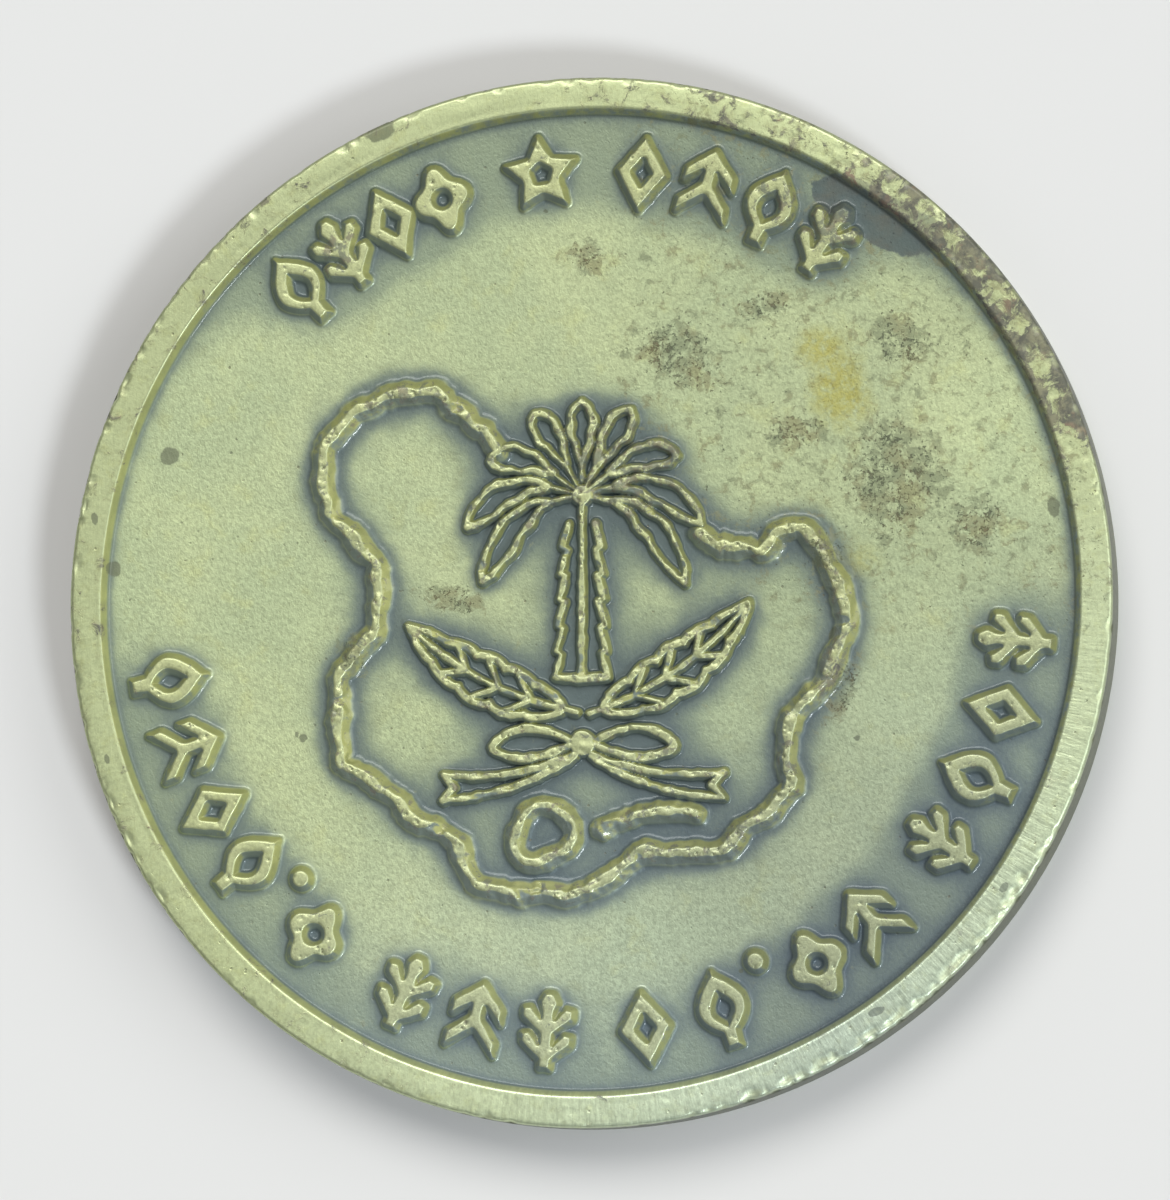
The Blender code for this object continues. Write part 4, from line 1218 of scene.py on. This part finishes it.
def build_body():
    rings, lifts, bares, edges = [], [], [], []

    def add(count, r, z, lift, edge=0.0, obverse=None):
        a = 2 * np.pi * np.arange(count) / count
        radii = np.full(count, float(r))
        heights = np.full(count, float(z))
        bare = np.zeros(count)
        if obverse is not None and r > 17.9:
            cut = nick_depth(a, radii, obverse)
            rolling = 0.006 * fractal(a * 18, a * 0 + r * 3, 0.6, 61, 2)
            heights = heights - (cut * (1 if obverse else -1)) + rolling * (1 if obverse else -1) * (0.0 if not obverse else 1.0)
            if r > 18.8:
                radii = radii - cut * 0.7
            bare = np.clip(cut / 0.03 - 0.25, 0, 1)
        if not obverse and z <= 0.25:
            heights = np.maximum(heights, 0.0)
        rings.append((count, radii, heights))
        lifts.append(np.full(count, float(lift)))
        bares.append(bare)
        edges.append(np.full(count, float(edge)))

    def field_z(count, r):
        a = 2 * np.pi * np.arange(count) / count
        return FIELD_TOP + field_wave(r * np.cos(a), r * np.sin(a))

    # obverse field, from the middle outwards
    for count, low, high, gap in ((120, 0.4, 3.0, 0.16), (240, 3.0, 6.6, 0.15), (480, 6.6, 17.30, 0.145)):
        number = int(round((high - low) / gap))
        for k in range(number):
            r = low + (high - low) * k / number
            add(count, r, FIELD_TOP, 0.0)
            rings[-1] = (count, rings[-1][1], field_z(count, r))
    # rim: fillet, inner wall, shoulder, land
    wave_fade = lambda r: 1 - ramp(r, 17.3, 17.6)
    for r in np.concatenate([np.arange(17.32, 17.58, 0.08), np.arange(17.60, 17.98, 0.028), np.arange(18.0, 18.86, 0.085)]):
        a = 2 * np.pi * np.arange(RIM_COUNT) / RIM_COUNT
        add(RIM_COUNT, r, FIELD_TOP + float(rim_height(np.array(r))), float(rim_height(np.array(r))) / RIM_RISE, obverse=True)
        count, radii, heights = rings[-1]
        uneven = 0.012 * fractal(a * 18, a * 0 + 2.0, 0.35, 71, 3) * (17.55 < r < 18.1)
        rings[-1] = (count, radii + uneven, heights + float(wave_fade(r)) * field_wave(r * np.cos(a), r * np.sin(a)))
    # outer corner, edge, reverse corner
    for k in range(7):
        t = k / 6 * math.pi / 2
        add(RIM_COUNT, 18.86 + 0.16 * math.sin(t), THICKNESS - 0.006 - 0.17 + 0.17 * math.cos(t), 1.0, 0.5 * (k / 6) ** 2, obverse=True)
    for z in np.linspace(2.55, 0.25, 7):
        belly = 0.03 * (1 - ((z - 1.4) / 1.2) ** 2)
        add(RIM_COUNT, 19.02 + belly, z, 0.9, 1.0)
    for k in range(6):
        t = (1 - k / 5) * math.pi / 2
        add(RIM_COUNT, 18.86 + 0.16 * math.sin(t), 0.17 - 0.17 * math.cos(t), 1.0, 0.5 * (1 - k / 5) ** 2, obverse=False)
    for r in (18.6, 18.3, 18.05, 17.96, 17.92):
        add(RIM_COUNT, r, max(0.0, RIM_RISE - float(rim_height(np.array(r)))) if r < 17.95 else 0.0, 1.0, obverse=False)
    for r in (17.87, 17.82, 17.77, 17.72, 17.67, 17.62, 17.56):
        h = float(rim_height(np.array(r)))
        add(RIM_COUNT, r, RIM_RISE - h, h / RIM_RISE)
    for r in (17.45, 17.3, 17.1, 16.85, 16.5):
        add(RIM_COUNT, r, RIM_RISE, 0.0)
    for count, radii in ((480, (16.2, 15.2, 13.8, 11.8)), (240, (9.5, 7.5, 6.0)), (120, (4.5, 3.2, 2.2, 1.2, 0.6))):
        for r in radii:
            add(count, r, RIM_RISE, 0.0)
    mesh, vertices = ring_mesh("struck_blank", rings)
    x, y, z = vertices[:, 0], vertices[:, 1], vertices[:, 2]
    r = np.hypot(x, y)
    obverse = z > 1.4
    cavity = np.where(obverse, sampled(cavity_map, x, y), 0.0)
    back = 0.9 * ramp(r, 16.6, 17.6) * (1 - ramp(r, 17.7, 17.9))
    cavity = np.where(obverse, cavity, back)
    veil = np.where(obverse, sampled(veil_map, x, y), ramp(r, 15.0, 17.6) * (1 - ramp(r, 17.7, 17.9)))
    mask = wear_and_painted_light_masks(x, y)
    for key in mask:
        neutral = -1.0 if key in ("spots", "film") else 0.0
        mask[key] = np.where(obverse, mask[key], neutral)
    mask["brown"] = np.where(obverse, mask["brown"], 0.25 * ramp(r, 17.4, 17.8))
    tail = np.zeros(2)
    turn = np.degrees(np.arctan2(y, x))
    inwards = np.where(r < 18.0, -1.0, np.where(r > 18.86, 1.0, 0.0)) * (r > 17.4)
    # painted light and shade round the rim: the land is painted brighter towards the bottom and duller towards the top
    # and upper left
    rim_painted_light = np.interp(turn, (-180, -160, -140, -120, -100, -80, -60, -40, -20, 0, 20, 45, 60, 80, 100, 120, 140, 160, 180),
                    (0.86, 0.93, 1.00, 1.04, 1.19, 1.17, 1.02, 1.03, 1.06, 0.97, 0.86, 0.82, 0.90, 0.86, 0.80, 0.78, 0.78, 0.84, 0.86))
    mask["tone"] = np.where(obverse, mask["tone"] + (rim_painted_light - mask["tone"]) * ramp(r, 17.5, 17.9), 0.93)
    chill = np.interp(turn, (-180, -135, -100, -80, -60, -40, -20, 0, 20, 180), (0.0, 0.0, 0.34, 0.70, 1.0, 0.70, 0.42, 0.22, 0.0, 0.0))
    mask["cool"] = mask["cool"] + (chill - mask["cool"]) * ramp(r, 17.5, 17.9)
    streaky = 0.22 + 0.78 * ramp(turn, -125, -95) * (1 - ramp(turn, -18, 2))
    set_attributes(mesh, {
        "cavity": cavity,
        "veil": veil,
        "lift": np.concatenate(lifts + [tail]),
        "dent": np.zeros(len(vertices)),
        "streaky": streaky,
        # painted light and shade on the rim's walls: lit where they face up and to the right, shaded where they face
        # away
        "painted_light_side": 0.35 + 0.65 * inwards * (0.64 * x + 0.77 * y) / np.maximum(r, 1.0),
        "bare": np.concatenate(bares + [tail]),
        "edge": np.concatenate(edges + [tail]),
        **mask,
    })
    piece = add_piece("struck_blank", mesh, [FIELD_METAL, RIM_METAL], ["coin_blank", "obverse_rim", "reverse_rim"])
    centres = np.zeros(len(mesh.polygons) * 3, np.float32)
    mesh.polygons.foreach_get("center", centres)
    centres = centres.reshape(-1, 3)
    on_rim = (np.hypot(centres[:, 0], centres[:, 1]) > 0.01772).astype(np.int32)
    mesh.polygons.foreach_set("material_index", on_rim)
    return piece


build_body()


# ================================================================= floor, camera, light
floor_mesh = bpy.data.meshes.new("floor")
floor_mesh.from_pydata([(-1.5, -1.5, 0), (1.5, -1.5, 0), (1.5, 1.5, 0), (-1.5, 1.5, 0)], [], [(0, 1, 2, 3)])
floor = bpy.data.objects.new("floor", floor_mesh)
bpy.context.scene.collection.objects.link(floor)
floor.location.z = -0.00001
paint = bpy.data.materials.new("floor_paint")
paint.use_nodes = True
floor_shader = paint.node_tree.nodes["Principled BSDF"]
floor_shader.inputs["Base Color"].default_value = (0.66, 0.66, 0.65, 1)
floor_shader.inputs["Roughness"].default_value = 0.85
floor_mesh.materials.append(paint)

scene = bpy.context.scene
camera_data = bpy.data.cameras.new("camera")
camera_data.lens = 207.8
camera_data.sensor_width = 36.0
camera_data.clip_start = 0.01
camera = bpy.data.objects.new("camera", camera_data)
scene.collection.objects.link(camera)
tilt, azimuth = math.radians(10.3), math.radians(-30)
target = Vector((-0.00006, 0.00000, FIELD_TOP * MM))
toward = Vector((math.sin(tilt) * math.cos(azimuth), math.sin(tilt) * math.sin(azimuth), math.cos(tilt)))
camera.location = target + toward * 0.25
back = toward
right = Vector((0, 1, 0)).cross(back).normalized()
up = back.cross(right)
camera.matrix_world = Matrix((
    (right.x, up.x, back.x, camera.location.x),
    (right.y, up.y, back.y, camera.location.y),
    (right.z, up.z, back.z, camera.location.z),
    (0, 0, 0, 1),
))
scene.camera = camera


def soft_light(name, place, spread, strength, colour):
    """A broad light far off in the direction of place; spread is its width in degrees."""
    data = bpy.data.lights.new(name, "SUN")
    data.angle = math.radians(spread)
    data.energy = strength
    data.color = colour
    light = bpy.data.objects.new(name, data)
    scene.collection.objects.link(light)
    light.location = place
    light.rotation_euler = (-Vector(place)).to_track_quat("-Z", "Y").to_euler()
    return light


soft_light("key", (-0.06, 0.40, 0.62), 34, 1.63, (1.0, 0.98, 0.95))
soft_light("fill", (0.50, 0.12, 0.36), 36, 0.83, (0.98, 0.99, 1.0))
soft_light("window", (0.26, -0.24, 0.36), 12, 1.50, (0.90, 0.95, 1.0))

world = bpy.data.worlds.new("studio")
scene.world = world
world.use_nodes = True
w = Tree(world)
direction = w.node("ShaderNodeTexCoord").outputs["Generated"]
split = w.node("ShaderNodeSeparateXYZ")
w.put(split.inputs[0], direction)
level = w.remap(split.outputs[2], -0.1, 0.9, 0.0, 1.0)
sky = w.mix(level, (0.56, 0.57, 0.58), (0.92, 0.93, 0.92))
low_down = w.math("SUBTRACT", 1.0, w.remap(split.outputs[2], 0.15, 0.95))
lean = w.math("MULTIPLY_ADD", split.outputs[0], 0.36, w.math("MULTIPLY", split.outputs[1], 0.50))
side = w.math("MULTIPLY_ADD", lean, low_down, 1.0)
far = w.math("SUBTRACT", 1.0, w.remap(split.outputs[2], 0.07, 0.17))
strength = w.blend(far, w.math("MULTIPLY", side, 0.374), 0.92)
sky = w.mix(far, sky, (0.80, 0.80, 0.79))
background = w.node("ShaderNodeBackground")
w.put(background.inputs[0], sky)
w.put(background.inputs[1], strength)
world_out = w.node("ShaderNodeOutputWorld")
w.tree.links.new(background.outputs[0], world_out.inputs[0])

scene.view_settings.view_transform = "Standard"
scene.view_settings.look = "None"
scene.view_settings.exposure = 0.0
scene.view_settings.gamma = 1.0
